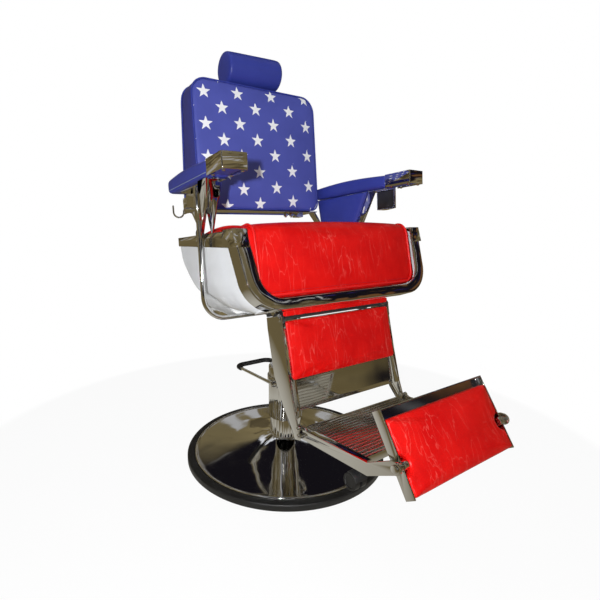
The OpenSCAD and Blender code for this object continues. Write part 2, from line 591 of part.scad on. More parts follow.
// dome screws: three under each cap edge, two in each leg strap
module dome(r, h) scale([1, 1, h / r]) difference() {
    sphere(r = r, $fn = 24);
    translate([-2 * r, -2 * r, -4 * r]) cube(4 * r);
}
module arm_screws() color(chrome) {
    both_sides() in_arm() for (u = [arm_front + 12, arm_front + cap_l - 20], x = [arm_in + 9, arm_x - 9])
        translate([x, u, arm_low + 0.2]) mirror([0, 0, 1]) cylinder(r1 = 5, r2 = 3, h = 3, $fn = 24);
    in_seat() mirror([1, 0, 0]) for (w = [-20, -8]) {
        rod_x(leg_strap_x + 1, leg_strap_x + leg_strap_t + 1, [167, w], 2.4);
        rod_x(leg_strap_x + leg_strap_t + 0.1, leg_strap_x + leg_strap_t + 2.6, [167, w], 4);
    }
}

// hook for the razor strop, on the right arm's outer leg
hook_r = 2;
module strop_hook() color(chrome) in_seat() translate([-leg_strap_x - leg_strap_t - 0.1, 166, 64]) rotate([0, 0, 180]) {
    rod_x(0, 3, [0, 0], 5);
    rod_x(0, 27, [0, 0], hook_r);
    rod_x(16, 18, [0, 0], 3.6);
    translate([27, 0, -8]) rotate([90, 0, 0]) rotate_extrude(angle = 90) translate([8, 0]) circle(r = hook_r, $fn = 24);
    translate([35, 0, -9]) cylinder(r = hook_r, h = 1 + eps, $fn = 24);
    translate([48, 0, -9]) rotate([90, 0, 0]) rotate_extrude(angle = -180) translate([13, 0]) circle(r = hook_r, $fn = 24);
    translate([61, 0, -9 - eps]) cylinder(r = hook_r, h = 14, $fn = 24);
    translate([61, 0, 5]) sphere(r = hook_r, $fn = 24);
}

// ashtray under the left arm: a fixed housing and a bin that tips towards the sitter
tray_in = arm_in + 5;
tray_u = [48, 116];
tray_w = [arm_low - 65, arm_low - rail_t - 2];
tray_axis = [tray_in + 1, tray_w[0] + 4];
// plan of the tray, as a wedge that widens towards the back, grown by m
module tray_plan(m) polygon([[tray_in, tray_u[0] - m], [tray_in + 7 + m, tray_u[0] - m], [tray_in + 33 + m, tray_u[0] + 52],
    [tray_in + 33 + m, tray_u[1] + m], [tray_in, tray_u[1] + m]]);
module ashtray_housing() color(chrome) in_arm() {
    difference() {
        translate([0, 0, tray_w[0]]) linear_extrude(tray_w[1] - tray_w[0]) tray_plan(0);
        translate([0, 0, tray_w[0] + 2]) linear_extrude(tray_w[1] - tray_w[0] - 4) translate([-0.01, 0]) tray_plan(-2);
    }
    translate([tray_in + 12, tray_u[0] + 34, tray_w[1] - 0.2]) cube([14, 40, 2.1]);
}
module ashtray_bin() color(rubber) in_arm() difference() {
    union() {
        translate([0, 0, tray_w[0] + 3]) linear_extrude(tray_w[1] - tray_w[0] - 6) difference() {
            tray_plan(-3);
            difference() { tray_plan(-4.6); translate([tray_in - 1, 0]) square([3.4, 200]); }
        }
        translate([0, 0, tray_w[0] + 3]) linear_extrude(2) tray_plan(-3);
    }
    // the far edge is rounded about the tipping line
    translate([tray_axis[0], 0, tray_axis[1]]) rotate([-90, 0, 0]) difference() {
        cylinder(r = 100, h = 200);
        translate([0, 0, -1]) cylinder(r = tray_w[1] - tray_w[0] - 8, h = 202);
    }
}

// ---------- recline release ----------
release_rod = 6;
release_x = -seat_hw - 17.5;
release_bend = 58;
release_top = arm_h - 53;
sleeve_l = 83;
module release_lever() color(chrome) in_seat() {
    shaft_w = release_axis[1];
    rod_x(release_x + release_bend, -frame_x + 12, [release_axis[0], shaft_w], release_rod);
    translate([release_x + release_bend, release_axis[0], shaft_w + release_bend]) rotate([90, 0, 0])
        rotate_extrude(angle = 90) translate([-release_bend, 0]) circle(r = release_rod, $fn = 32);
    translate([release_x, release_axis[0], shaft_w + release_bend]) cylinder(r = release_rod, h = release_top - 3 - shaft_w - release_bend);
    plate_x(-frame_x + 8, 5) link2d([release_axis[0], shaft_w], [release_axis[0] - 24, shaft_w - 5], 14);
    // gusset across the bend
    translate([0, release_axis[0] + 1.5, 0]) rotate([90, 0, 0]) linear_extrude(3) polygon([
        [release_x + 4, shaft_w + 62], [release_x + 12, shaft_w + 66], [-250, shaft_w + 12], [-236, shaft_w + 2],
        [release_x + release_bend, shaft_w + 1], [release_x + 16, shaft_w + 16]]);
}
module release_sleeve() color(chrome) in_seat() translate([release_x, release_axis[0], release_top - sleeve_l]) difference() {
    union() {
        cylinder(r = 8.5, h = sleeve_l - 3);
        translate([0, 0, sleeve_l - 3]) cylinder(r1 = 8.5, r2 = 6, h = 3);
    }
    translate([0, 0, -1]) cylinder(r = release_rod + 0.05, h = sleeve_l - 2);
}

// ---------- back ----------
board_t = 12;
back_hw = back_w / 2;
function back_t(v) = back_t_foot + (back_t_top - back_t_foot) * v / back_h;
back_face = 8;                // how far the crown stands in front of the seam
function back_ring(inset, f, crown) = [for (p = pad_outline(back_hw - inset, inset, back_h - inset, max(4, 28 - inset * 0.6), max(8, 50 - inset * 0.6), 48))
    let (deep = back_t(p[1]) - board_t - 0.5) [p[0], deep * f - crown, p[1]]];
socket_hw = 20;
socket_t = [52, 68];
socket_v = back_h - 150;
module back_cushion() color(blue) in_back() difference() {
    rings([back_ring(0.5, 1, 0), back_ring(-0.6, 0.8, 0), back_ring(-1, 0.45, 0), back_ring(-0.4, 0.12, 0), back_ring(1.5, 0.03, 0),
        back_ring(6, 0, 2), back_ring(16, 0, 4.5), back_ring(34, 0, 6.5), back_ring(70, 0, 8), back_ring(120, 0, back_face)]);
    translate([-socket_hw - 1, socket_t[0] - 1, socket_v - 1]) cube([2 * socket_hw + 2, 80, 200]);
}
module back_board() color(blue) in_back() {
    rings([for (s = [[2, board_t], [0, board_t - 2], [0, 2], [2, 0]])
        [for (p = pad_outline(back_hw - s[0], s[0], back_h - s[0], 26, 48, 32)) [p[0], back_t(p[1]) - board_t + s[1], p[1]]]]);
}
hinge_b = to_back(back_hinge);
hinge_d = to_back(link_head);
foot_plate_v = -4;
module back_frame() color(chrome) in_back() difference() {
    union() {
        translate([-hinge_x - hinge_t, 14, foot_plate_v]) cube([2 * (hinge_x + hinge_t), 48, 3]);
        both_sides() translate([hinge_x, 56, foot_plate_v]) cube([hinge_t, 62, 50]);
        // hinge lugs, each with a crank tail
        both_sides() plate_x(hinge_x, hinge_t) {
            translate(hinge_b) circle(r = 14);
            polygon([[24, foot_plate_v + 1], [60, foot_plate_v + 1], [22, -46], hinge_b + [14, 0], hinge_b + [-14, 0], [-8, -46]]);
            link2d(hinge_b, hinge_d, 24);
        }
    }
    both_sides() rod_x(hinge_x - 1, hinge_x + hinge_t + 1, hinge_b, pin_r + run_fit);
}
// crank rod between the lugs, hex nuts under the foot plate and a latch block
module back_nuts() color(chrome) in_back() {
    rod_x(-hinge_x, hinge_x, hinge_d, pin_r);
    both_sides() for (x = [link_x - 3.8, link_x + link_t + 0.8]) rod_x(x, x + 3, hinge_d, 8);
    for (x = [112, 136]) {
        translate([x, 40, foot_plate_v - 12]) cylinder(r = 8, h = 11.9, $fn = 6);
        translate([x, 40, foot_plate_v - 16]) cylinder(r = 4, h = 4.5);
    }
    translate([156, 34, foot_plate_v - 15]) cube([28, 26, 14.9]);
}
module recline_link() color(chrome) difference() {
    plate_x(link_x, link_t) link2d(seat_pt(link_foot), seat_pt(link_head), 18);
    rod_x(link_x - 1, link_x + link_t + 1, seat_pt(link_foot), pin_r + 0.45);
    rod_x(link_x - 1, link_x + link_t + 1, seat_pt(link_head), pin_r + run_fit);
}
module recline_link_left() recline_link();
module recline_link_right() mirror([1, 0, 0]) recline_link();

// ---------- headrest ----------
post_hw = 16;
post_t = 8;
roll_r = roll_d / 2;
roll_at = [35, back_h + 8 + roll_r];
module headrest_socket() color(chrome) in_back() difference() {
    union() {
        translate([-socket_hw, socket_t[0], socket_v]) cube([2 * socket_hw, socket_t[1] - socket_t[0], back_h - socket_v + 1]);
        translate([-socket_hw - 8, socket_t[0] - 6, back_h + 1]) cube([2 * socket_hw + 16, 26, 2]);
    }
    translate([-post_hw - run_fit, (socket_t[0] + socket_t[1]) / 2 - post_t / 2 - run_fit, socket_v + 4])
        cube([2 * (post_hw + run_fit), post_t + 2 * run_fit, 300]);
}
module headrest_post() color(chrome) in_back()
    translate([-post_hw, (socket_t[0] + socket_t[1]) / 2 - post_t / 2, socket_v + 8])
        cube([2 * post_hw, post_t, roll_at[1] - socket_v]);
module headrest_roll() color(blue) in_back() difference() {
    translate([0, roll_at[0], roll_at[1]]) rings([for (e = [[-1, 0.55], [-0.99, 0.72], [-0.955, 0.86], [-0.9, 0.94], [-0.8, 0.985], [-0.5, 1],
        [0, 1], [0.5, 1], [0.8, 0.985], [0.9, 0.94], [0.955, 0.86], [0.99, 0.72], [1, 0.55]])
        [for (i = [0:35]) [roll_l / 2 * e[0], roll_r * e[1] * cos(10 * i), roll_r * e[1] * sin(10 * i)]]]);
    translate([-post_hw - 0.3, (socket_t[0] + socket_t[1]) / 2 - post_t / 2 - 0.3, 0]) cube([2 * post_hw + 0.6, post_t + 0.6, roll_at[1] + 12]);
}

// ---------- leg rest ----------
leg_depth = 67;
flange_in = 20;
pad_front = -13;
leg_foot = -318;
c_leg = to_leg(link_foot);
channel_edge = [[-12, -30], [-12, -150], [-15, -250], [-24, leg_foot + 6], [-20, leg_foot], [0, leg_foot], [6, -300],
    [26, -266], [38, -216], [55, -165], [55, -40], [52, -12]];
module channel_web() {
    polygon(concat(channel_edge, [[6, -13]]));
    link2d(h_leg, h_leg + [2, -30], 22);
}
module leg_channel() color(chrome) in_leg() difference() {
    union() {
        plate_x(leg_x - web_t, web_t) channel_web();
        plate_x(leg_x - flange_in, flange_in) {
            polygon([[-12, -45], [-12, -150], [-15, -250], [-11.5, -250], [-8.5, -150], [-8.5, -45]]);
            polygon([[55, -165], [38, -216], [34.6, -215], [51.5, -164.3], [51.5, -45], [55, -45]]);
        }
    }
    rod_x(leg_x - web_t - 1, leg_x + 1, h_leg, pin_r + run_fit);
    for (p = bolt_at) rod_x(leg_x - web_t - 1, leg_x + 1, to_leg_foot(p), bolt_r);
}
module leg_channel_left() leg_channel();
module leg_channel_right() mirror([1, 0, 0]) leg_channel();
module link_pins() color(chrome) in_leg() both_sides() {
    rod_x(link_x - 1, leg_x - web_t, c_leg, pin_r);
    rod_x(link_x + link_t + 0.6, leg_x - web_t, c_leg, 7.5);
    rod_x(link_x - 4, link_x - 0.8, c_leg, 8);
}
plate_hw = leg_x - flange_in - 1;
module mirror_plate() color(chrome) in_leg() {
    translate([-plate_hw, -6, -252]) cube([2 * plate_hw, 2, 226]);
    both_sides() translate([plate_hw - 3, -8, -240]) cube([3, 12, 90]);
}
// leg pad: a board covered with a crowned pad, folded over at its top
leg_pad_hw = leg_x - 9;
module leg_pad() color(red) {
    top = -25;
    in_leg() rings([for (s = [[1, -7.4], [0, -9], [0.5, -11.5], [3, pad_front], [8, pad_front - 1.5], [20, pad_front - 3], [40, pad_front - 3.8]])
        [for (p = pad_outline(leg_pad_hw - s[0], top - leg_pad_h + s[0], top - s[0], 4, 4, 32)) [p[0], s[1] - 5.8, p[1]]]]);
}

// ---------- foot plate ----------
foot_x = leg_x - web_t - side_gap;      // outer face of a foot arm
foot_arm_t = 5;
foot_arm_h = 28;
bolt_r = 3.5;
bolt_at = [[-12, 4.6], [-13, -13]];
bolt_head_r = 5;
function to_leg_foot(p) = foot_at + turn2(p, leg_lean - foot_slope);
module foot_arm() color(chrome) in_foot() difference() {
    union() {
        plate_x(foot_x - foot_arm_t, foot_arm_t) {
            polygon([[4, 10], [-24, 10], [-34, 4], [-foot_l - 22, 4], [-kick_reach + 8, kick_rise + 13], [-kick_reach, kick_rise + 13],
                [-kick_reach, kick_rise - 13], [-foot_l - 22, 4 - foot_arm_h], [-24, -21], [4, -21]]);
            translate([-kick_reach, kick_rise]) circle(r = 13);
        }
        translate([foot_x - 18, -foot_l - 18, 1]) cube([17, foot_l - 26, 3]);
    }
    rod_x(foot_x - foot_arm_t - 1, foot_x + 1, [-kick_reach, kick_rise], pin_r);
    for (p = bolt_at) rod_x(foot_x - foot_arm_t - 1, foot_x + 1, p, bolt_r);
}
module foot_arm_left() foot_arm();
module foot_arm_right() mirror([1, 0, 0]) foot_arm();
foot_plate_hw = foot_x - foot_arm_t - 0.2;
foot_sheet = 3;
rib_w = 4;
rib_h = 3;
caster_x = 112;
caster_u = 129.4;
bracket_low = -60;
module foot_plate() color(chrome) in_foot() difference() {
    union() {
        translate([-foot_plate_hw, -foot_l, -foot_sheet - 0.5]) cube([2 * foot_plate_hw, foot_l, foot_sheet]);
        for (i = [0:floor((foot_l - 14) / rib_pitch)]) translate([-foot_plate_hw + 16, -10 - i * rib_pitch - rib_w / 2, -1])
            cube([2 * foot_plate_hw - 32, rib_w, rib_h + 0.5]);
        for (u = [-foot_l, -3]) translate([-foot_plate_hw, u, -18]) cube([2 * foot_plate_hw, 3, 17]);
        both_sides() for (u = [-caster_u - 18, -caster_u + 15])
            translate([caster_x - 16, u, bracket_low]) cube([32, 3, -bracket_low - 3]);
        both_sides() translate([caster_x - 16, -caster_u - 18, bracket_low]) cube([32, 36, 4]);
    }
    both_sides() translate([caster_x, -caster_u, bracket_low - 1]) cylinder(r = 5 + run_fit, h = 8);
}
// bolts that join the foot arms to the channels, with dome nuts outside
module foot_bolts() color(chrome) in_foot() both_sides() for (p = bolt_at) {
    rod_x(foot_x - foot_arm_t - 2, leg_x + 0.2, p, bolt_r);
    rod_x(foot_x - foot_arm_t - 5, foot_x - foot_arm_t - 0.1, p, bolt_head_r);
    translate([leg_x + 0.1, p[0], p[1]]) rotate([0, 90, 0]) cylinder(r = 7, h = 4, $fn = 6);
    translate([leg_x + 4, p[0], p[1]]) rotate([0, 90, 0]) cylinder(r1 = 6, r2 = 3, h = 4, $fn = 24);
}

// ---------- casters ----------
wheel_r = caster_d / 2;
wheel_t = 14;
wheel_gap = 7;
axle_r = 3;
trail = 12;
wheel_drop = 46;
module in_caster() in_foot() translate([caster_x, -caster_u, bracket_low]) children();
module caster_fork() color(rubber) in_caster() difference() {
    union() {
        translate([0, 0, -4]) cylinder(r = 14, h = 3.6);
        cylinder(r = 5, h = 4 + 3);
        translate([0, 0, -1]) cylinder(r = 5, h = 2);
        translate([-wheel_gap / 2 + 0.5, -9, -wheel_drop + 8]) cube([wheel_gap - 1, 22, wheel_drop - 9]);
        rod_x(-wheel_gap / 2 + 0.5, wheel_gap / 2 - 0.5, [trail, -wheel_drop], 13);
        difference() {
            rod_x(-wheel_gap / 2 - wheel_t, wheel_gap / 2 + wheel_t, [trail, -wheel_drop], wheel_r + 4);
            rod_x(-50, 50, [trail, -wheel_drop], wheel_r + 1.5);
            translate([-60, trail - 60, -wheel_drop - 100]) cube([120, 120, 106]);
            translate([-60, trail + 5, -wheel_drop - 60]) cube([120, 60, 120]);
        }
    }
    rod_x(-50, 50, [trail, -wheel_drop], axle_r + run_fit);
}
module caster_wheels() color(rubber) in_caster() {
    for (s = [-1, 1]) difference() {
        union() {
            rod_x(s * (wheel_gap / 2 + wheel_t / 2) - wheel_t / 2 + 0.3, s * (wheel_gap / 2 + wheel_t / 2) + wheel_t / 2 - 0.3, [trail, -wheel_drop], wheel_r);
        }
        rod_x(s > 0 ? wheel_gap / 2 + wheel_t - 2 : -wheel_gap / 2 - wheel_t - 1, s > 0 ? wheel_gap / 2 + wheel_t + 1 : -wheel_gap / 2 - wheel_t + 2, [trail, -wheel_drop], wheel_r - 5);
    }
    rod_x(-wheel_gap / 2 - 2, wheel_gap / 2 + 2, [trail, -wheel_drop], axle_r);
}
module caster_fork_left() caster_fork();
module caster_fork_right() mirror([1, 0, 0]) caster_fork();
module caster_wheels_left() caster_wheels();
module caster_wheels_right() mirror([1, 0, 0]) caster_wheels();

// ---------- kick plate ----------
kick_hw = kick_w / 2;
kick_low = -62;
kick_high = kick_low + kick_l;
kick_y = [-3, kick_d - 3];
notch_r = 15;
kick_sheet = 2;
module kick_tray() color(chrome) in_kick() difference() {
    union() {
        translate([-kick_hw, kick_y[1] - 8, kick_low]) cube([kick_w, kick_sheet, kick_l]);
        both_sides() translate([kick_hw - 3, kick_y[0], kick_low]) cube([3, kick_d, kick_l]);
        translate([-kick_hw, kick_y[0], kick_high - 3]) cube([kick_w, kick_d, 3]);
        translate([-kick_hw, kick_y[1] - 8, kick_low]) cube([kick_w, 8, 3]);
        for (i = [0:10]) translate([-kick_hw + 8, kick_y[1] - 6.5, kick_low + 14 + i * 14]) cube([kick_w - 16, 3, 4]);
        both_sides() rod_x(kick_hw - 14, kick_hw - 2, [0, 0], 9);
        both_sides() translate([kick_hw - 14, 0, -9]) cube([13, kick_y[1] - 7, 18]);
    }
    both_sides() rod_x(kick_hw - 15, kick_hw + 1, [0, 0], pin_r + run_fit);
}
module kick_pins() color(chrome) both_sides() {
    rod_x(kick_hw - 13, foot_x + 0.4, kick_yz, pin_r);
    rod_x(foot_x + 0.2, foot_x + 4, kick_yz, 8);
    rod_x(kick_hw + 0.5, foot_x - foot_arm_t - 0.5, kick_yz, 8);
}
// kick pad: crowned, with a half-round cut-out at each pivot
pad_low = kick_low + 2;
pad_high = kick_high - 21;
function kick_outline(inset, n_side, n_arc) = let (a = kick_hw - 4 - inset, r = notch_r + 3 + inset,
    right = concat([[0, pad_low + inset]], [for (i = [1:4]) [a * i / 4, pad_low + inset]],
        [[a, (pad_low - r) / 2]],
        [for (i = [0:n_arc]) [a + 3 + inset * 0.2, 0] + r * [-abs(sin(180 * i / n_arc)) * 1, -cos(180 * i / n_arc)] - [3 + inset * 0.2, 0] * (1 - 0)],
        [[a, (pad_high + r) / 2]],
        [for (i = [4:-1:1]) [a * i / 4, pad_high - inset]]))
    concat(right, [[0, pad_high - inset]], [for (i = [len(right) - 1:-1:1]) [-right[i][0], right[i][1]]]);
module kick_pad() color(red) in_kick() rings([for (s = [[1, kick_y[1] - 9], [0, 6], [0, -1], [0.8, -5], [3, -8], [7, -10], [14, -11.5]])
    [for (p = kick_outline(s[0], 4, 8)) [p[0], s[1], p[1]]]]);

floor_ring();
base_dish();
base_plate();
neck_sleeve();
pump_cover();
pump_cylinder();
bar_clamp();
pump_bar();
pump_grip();
ram();
seat_mount();
underframe();
seat_pan();
seat_band();
front_moulding();
corner_caps();
seat_board();
seat_cushion();
front_roll();
front_apron();
arm_bracket_right();
arm_bracket_left();
side_panel_right();
side_panel_left();
arm_pad_right();
arm_pad_left();
arm_cap_right();
arm_cap_left();
arm_screws();
strop_hook();
ashtray_housing();
ashtray_bin();
hinge_pins();
release_lever();
release_sleeve();
back_cushion();
back_board();
back_frame();
back_nuts();
headrest_socket();
headrest_post();
headrest_roll();
recline_link_right();
recline_link_left();
leg_channel_right();
leg_channel_left();
mirror_plate();
leg_pad();
link_pins();
foot_arm_right();
foot_arm_left();
foot_plate();
foot_bolts();
caster_fork_right();
caster_wheels_right();
caster_fork_left();
caster_wheels_left();
kick_tray();
kick_pad();
kick_pins();
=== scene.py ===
"""Hydraulic barber chair: cushions, enamel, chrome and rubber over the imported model.

Lengths in the shape functions are millimetres; a mesh is written in metres.
The sitter faces -Y, so the sitter's right hand is at -X.
"""
import bmesh
import bpy
import json
import math
import numpy as np
from mathutils import Matrix, Vector


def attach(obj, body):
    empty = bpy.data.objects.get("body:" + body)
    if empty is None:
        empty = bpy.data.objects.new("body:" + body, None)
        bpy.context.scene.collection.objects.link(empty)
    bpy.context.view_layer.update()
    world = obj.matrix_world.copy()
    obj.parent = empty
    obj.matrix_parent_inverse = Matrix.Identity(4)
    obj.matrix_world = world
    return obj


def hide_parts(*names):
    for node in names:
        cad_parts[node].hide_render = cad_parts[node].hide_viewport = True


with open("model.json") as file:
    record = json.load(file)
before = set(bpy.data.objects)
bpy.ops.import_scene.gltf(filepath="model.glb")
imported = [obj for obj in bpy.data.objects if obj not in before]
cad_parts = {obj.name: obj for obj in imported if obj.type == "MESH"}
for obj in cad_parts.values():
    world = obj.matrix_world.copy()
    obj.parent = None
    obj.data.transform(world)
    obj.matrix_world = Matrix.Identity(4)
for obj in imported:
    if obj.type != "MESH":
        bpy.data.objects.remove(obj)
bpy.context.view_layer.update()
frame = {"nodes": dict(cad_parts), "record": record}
cad_nodes = frame["nodes"]


# ---------- frames
def shift(x, y, z):
    """4x4 that moves by (x, y, z)."""
    m = np.eye(4)
    m[:3, 3] = (x, y, z)
    return m


def lean(degrees):
    """4x4 turn about X; positive tips +Y towards +Z."""
    a = math.radians(degrees)
    m = np.eye(4)
    m[1:3, 1:3] = [[math.cos(a), -math.sin(a)], [math.sin(a), math.cos(a)]]
    return m


def swing(degrees):
    """4x4 turn about Z."""
    a = math.radians(degrees)
    m = np.eye(4)
    m[:2, :2] = [[math.cos(a), -math.sin(a)], [math.sin(a), math.cos(a)]]
    return m


seat_hw, seat_d, pan_h, pan_low = 314.0, 333.0, 187.0, 210.0
in_seat = shift(0, -237, 740) @ lean(-5)
in_front = in_seat @ shift(0, -4, 0) @ lean(-14.8)
in_back = shift(0, 129.668, 797.404) @ lean(-6.5)
in_leg = shift(0, -232.43, 539.84) @ lean(-15)
in_kick = shift(0, -621.98, 311.261) @ lean(-34)
in_bar = shift(0, -29, 255) @ lean(-2.5)
in_arm = in_seat @ shift(302, -12, 0) @ swing(3) @ shift(-302, 12, 0)
mirror_x = np.diag([-1.0, 1.0, 1.0, 1.0])


def placed(points, place):
    """Points in a tilted frame, turned into the room, still in millimetres."""
    p = np.asarray(points, float)
    return p @ place[:3, :3].T + place[:3, 3]


def own(points, place):
    """Points of the room in a tilted frame."""
    return (points - place[:3, 3]) @ place[:3, :3]


# ---------- mesh making
def linked(name, data):
    """An object for a mesh, a lamp or a camera, in the scene."""
    obj = bpy.data.objects.new(name, data)
    bpy.context.scene.collection.objects.link(obj)
    return obj


def mesh_of(name, points, faces):
    """A mesh from points in millimetres."""
    mesh = bpy.data.meshes.new(name)
    mesh.from_pydata((np.asarray(points) * 0.001).tolist(), [], [list(map(int, f)) for f in faces])
    mesh.validate()
    mesh.update()
    return mesh


def points_of(mesh):
    """A mesh's points, in metres."""
    co = np.zeros(len(mesh.vertices) * 3)
    mesh.vertices.foreach_get("co", co)
    return co.reshape(-1, 3)


def rounded_shading(mesh):
    """Smooth shading on every face."""
    mesh.polygons.foreach_set("use_smooth", np.ones(len(mesh.polygons), bool))


def settled(obj):
    """A mesh of an object with its modifiers applied."""
    return bpy.data.meshes.new_from_object(obj.evaluated_get(bpy.context.evaluated_depsgraph_get()))


def make_piece(name, points, faces, body, finish, material, replaces=()):
    """A mesh object from points in millimetres, riding on a body."""
    mesh = mesh_of(name, points, faces)
    rounded_shading(mesh)
    obj = linked(name, mesh)
    mesh.materials.append(material)
    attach(obj, body)
    if replaces:
        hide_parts(*replaces)
    return obj


def grid_faces(rows, cols, start=0, wrap=True):
    """Quads over a grid of rows x cols points; the columns close on themselves if wrap."""
    j, i = np.meshgrid(np.arange(rows - 1), np.arange(cols if wrap else cols - 1), indexing="ij")
    k = (i + 1) % cols
    quads = np.stack([j * cols + i, j * cols + k, (j + 1) * cols + k, (j + 1) * cols + i], -1)
    return quads.reshape(-1, 4) + start


def loft(rows, caps=True, wrap=True):
    """Closed skin through rings rows[m, n, 3]; a centre point closes each end."""
    rows = np.asarray(rows, float)
    m, n = rows.shape[:2]
    points = rows.reshape(-1, 3)
    faces = [tuple(f) for f in grid_faces(m, n, wrap=wrap)]
    if caps:
        points = np.vstack([points, rows[0].mean(0), rows[-1].mean(0)])
        faces += [(m * n, (i + 1) % n, i) for i in range(n)]
        faces += [(m * n + 1, (m - 1) * n + i, (m - 1) * n + (i + 1) % n) for i in range(n)]
    return points, faces


def skin(rows, place, **ends):
    """Skin through rings drawn in a tilted frame."""
    rows = np.array(rows)
    return loft(placed(rows.reshape(-1, 3), place).reshape(rows.shape), **ends)


def stood_up(outline, t):
    """A flat outline [x, w] stood up as [x, t, w]; t is one depth, or one for each point."""
    return np.c_[outline[:, 0], np.broadcast_to(t, len(outline)), outline[:, 1]]


def outward(obj):
    """Merges doubles and turns every face of a closed mesh outwards."""
    bm = bmesh.new()
    bm.from_mesh(obj.data)
    bmesh.ops.remove_doubles(bm, verts=bm.verts, dist=1e-6)
    bmesh.ops.recalc_face_normals(bm, faces=bm.faces)
    bm.to_mesh(obj.data)
    bm.free()
    obj.data.update()
    return obj


def even_path(points, count, closed=False):
    """The same line with count points at equal steps of its length."""
    p = np.asarray(points, float)
    if closed:
        p = np.vstack([p, p[:1]])
    d = np.r_[0, np.cumsum(np.linalg.norm(np.diff(p, axis=0), axis=1))]
    s = np.linspace(0, d[-1], count + (1 if closed else 0))
    out = np.stack([np.interp(s, d, p[:, k]) for k in range(3)], -1)
    return out[:-1] if closed else out


def tangents(path, closed=False):
    """Unit directions along a path."""
    if closed:
        t = np.roll(path, -1, 0) - np.roll(path, 1, 0)
    else:
        t = np.gradient(path, axis=0)
    return t / np.maximum(np.linalg.norm(t, axis=1, keepdims=True), 1e-9)


def across_path(t, up):
    """Two unit directions square to each tangent: one square to up as well, and one near up."""
    side = np.cross(t, np.broadcast_to(np.asarray(up, float), t.shape))
    side /= np.maximum(np.linalg.norm(side, axis=1, keepdims=True), 1e-9)
    return side, np.cross(side, t)


def tube(path, radius, up, sides, closed=False):
    """Round bar along a path: rings of radius set across the path, with up as the reference direction."""
    path = np.asarray(path, float)
    side, top = across_path(tangents(path, closed), up)
    a = np.linspace(0, 2 * np.pi, sides, endpoint=False)
    r = np.broadcast_to(np.asarray(radius, float), (len(path),))
    spoke = np.cos(a)[None, :, None] * side[:, None] + np.sin(a)[None, :, None] * top[:, None]
    ring = path[:, None] + r[:, None, None] * spoke
    if closed:
        n = len(path)
        faces = grid_faces(n + 1, sides) % (n * sides)
        return ring.reshape(-1, 3), [tuple(f) for f in faces]
    return loft(ring)


def join(parts):
    """Several (points, faces) in one list of points and faces."""
    points, faces, n = [], [], 0
    for p, f in parts:
        points.append(np.asarray(p, float))
        faces += [tuple(int(v) + n for v in q) for q in f]
        n += len(p)
    return np.vstack(points), faces


stitch_pitch, stitch_length, stitch_thick = 3.4, 2.4, 0.55


def stitches(path, up):
    """A row of thread stitches along a path: small spindles, one per pitch."""
    path = np.asarray(path, float)
    total = np.linalg.norm(np.diff(path, axis=0), axis=1).sum()
    centre = even_path(path, int(total / stitch_pitch))
    t = tangents(centre)
    side, top = across_path(t, up)
    a = np.linspace(0, 2 * np.pi, 5, endpoint=False)
    along = np.array([-0.5, -0.3, 0.3, 0.5]) * stitch_length
    r = np.array([0.15, 1.0, 1.0, 0.15]) * stitch_thick
    ring = (centre[:, None, None] + along[None, :, None, None] * t[:, None, None]
            + (r[:, None] * np.cos(a))[None, :, :, None] * side[:, None, None]
            + (r[:, None] * np.sin(a))[None, :, :, None] * top[:, None, None])
    faces = []
    for k in range(len(centre)):
        base = k * 20
        faces += [tuple(f) for f in grid_faces(4, 5, base)]
        faces += [tuple(base + i for i in range(4, -1, -1)), tuple(base + 15 + i for i in range(5))]
    return ring.reshape(-1, 3), faces


# ---------- finishes
def emptied(owner, output):
    """The node tree of a material or a world with nothing in it but its output."""
    owner.use_nodes = True
    t = owner.node_tree
    t.nodes.clear()
    return t, t.nodes.new(output)


def new_material(name):
    """An empty material with its shader and output."""
    m = bpy.data.materials.new(name)
    t, out = emptied(m, "ShaderNodeOutputMaterial")
    shader = t.nodes.new("ShaderNodeBsdfPrincipled")
    t.links.new(shader.outputs[0], out.inputs[0])
    return m, t, shader


def node(tree, kind, links=(), **values):
    """A shader node with its settings; links maps an input's name to a socket."""
    n = tree.nodes.new(kind)
    for key, value in values.items():
        setattr(n, key, value)
    for key, source in dict(links).items():
        if hasattr(source, "node"):
            tree.links.new(source, n.inputs[key])
        else:
            n.inputs[key].default_value = source
    return n


def maths(tree, op, a, b=0.0, c=0.0):
    """One Math node; a, b and c are sockets or numbers."""
    return node(tree, "ShaderNodeMath", {0: a, 1: b, 2: c}, operation=op).outputs[0]


def product(tree, first, *others):
    """The product of sockets and numbers."""
    for value in others:
        first = maths(tree, "MULTIPLY", first, value)
    return first


def object_noise(tree, scale, detail=2.0, **settings):
    """Soft noise over the piece, a value from 0 to 1."""
    at = node(tree, "ShaderNodeTexCoord").outputs["Object"]
    links = {"Vector": at, "Scale": scale, "Detail": detail, **settings}
    return node(tree, "ShaderNodeTexNoise", links).outputs["Fac"]


def bumped(tree, height, strength, depth, **below):
    """A normal raised by a height map, depth in metres, over the normal below it if one is given."""
    links = {"Height": height, "Strength": strength, "Distance": depth, **below}
    return node(tree, "ShaderNodeBump", links).outputs["Normal"]


def finished(tree, shader, colour, rough, normal):
    """Links the colour, the roughness and the normal of a finish."""
    for name, socket in (("Base Color", colour), ("Roughness", rough), ("Normal", normal)):
        tree.links.new(socket, shader.inputs[name])


def mixed(tree, factor, a, b):
    """One colour mix; each value is a socket or a colour."""
    n = tree.nodes.new("ShaderNodeMix")
    n.data_type = "RGBA"
    for i, v in ((0, factor), (6, a), (7, b)):
        if hasattr(v, "node"):
            tree.links.new(v, n.inputs[i])
        else:
            n.inputs[i].default_value = v if i == 0 else (*v, 1.0)
    return n.outputs[2]


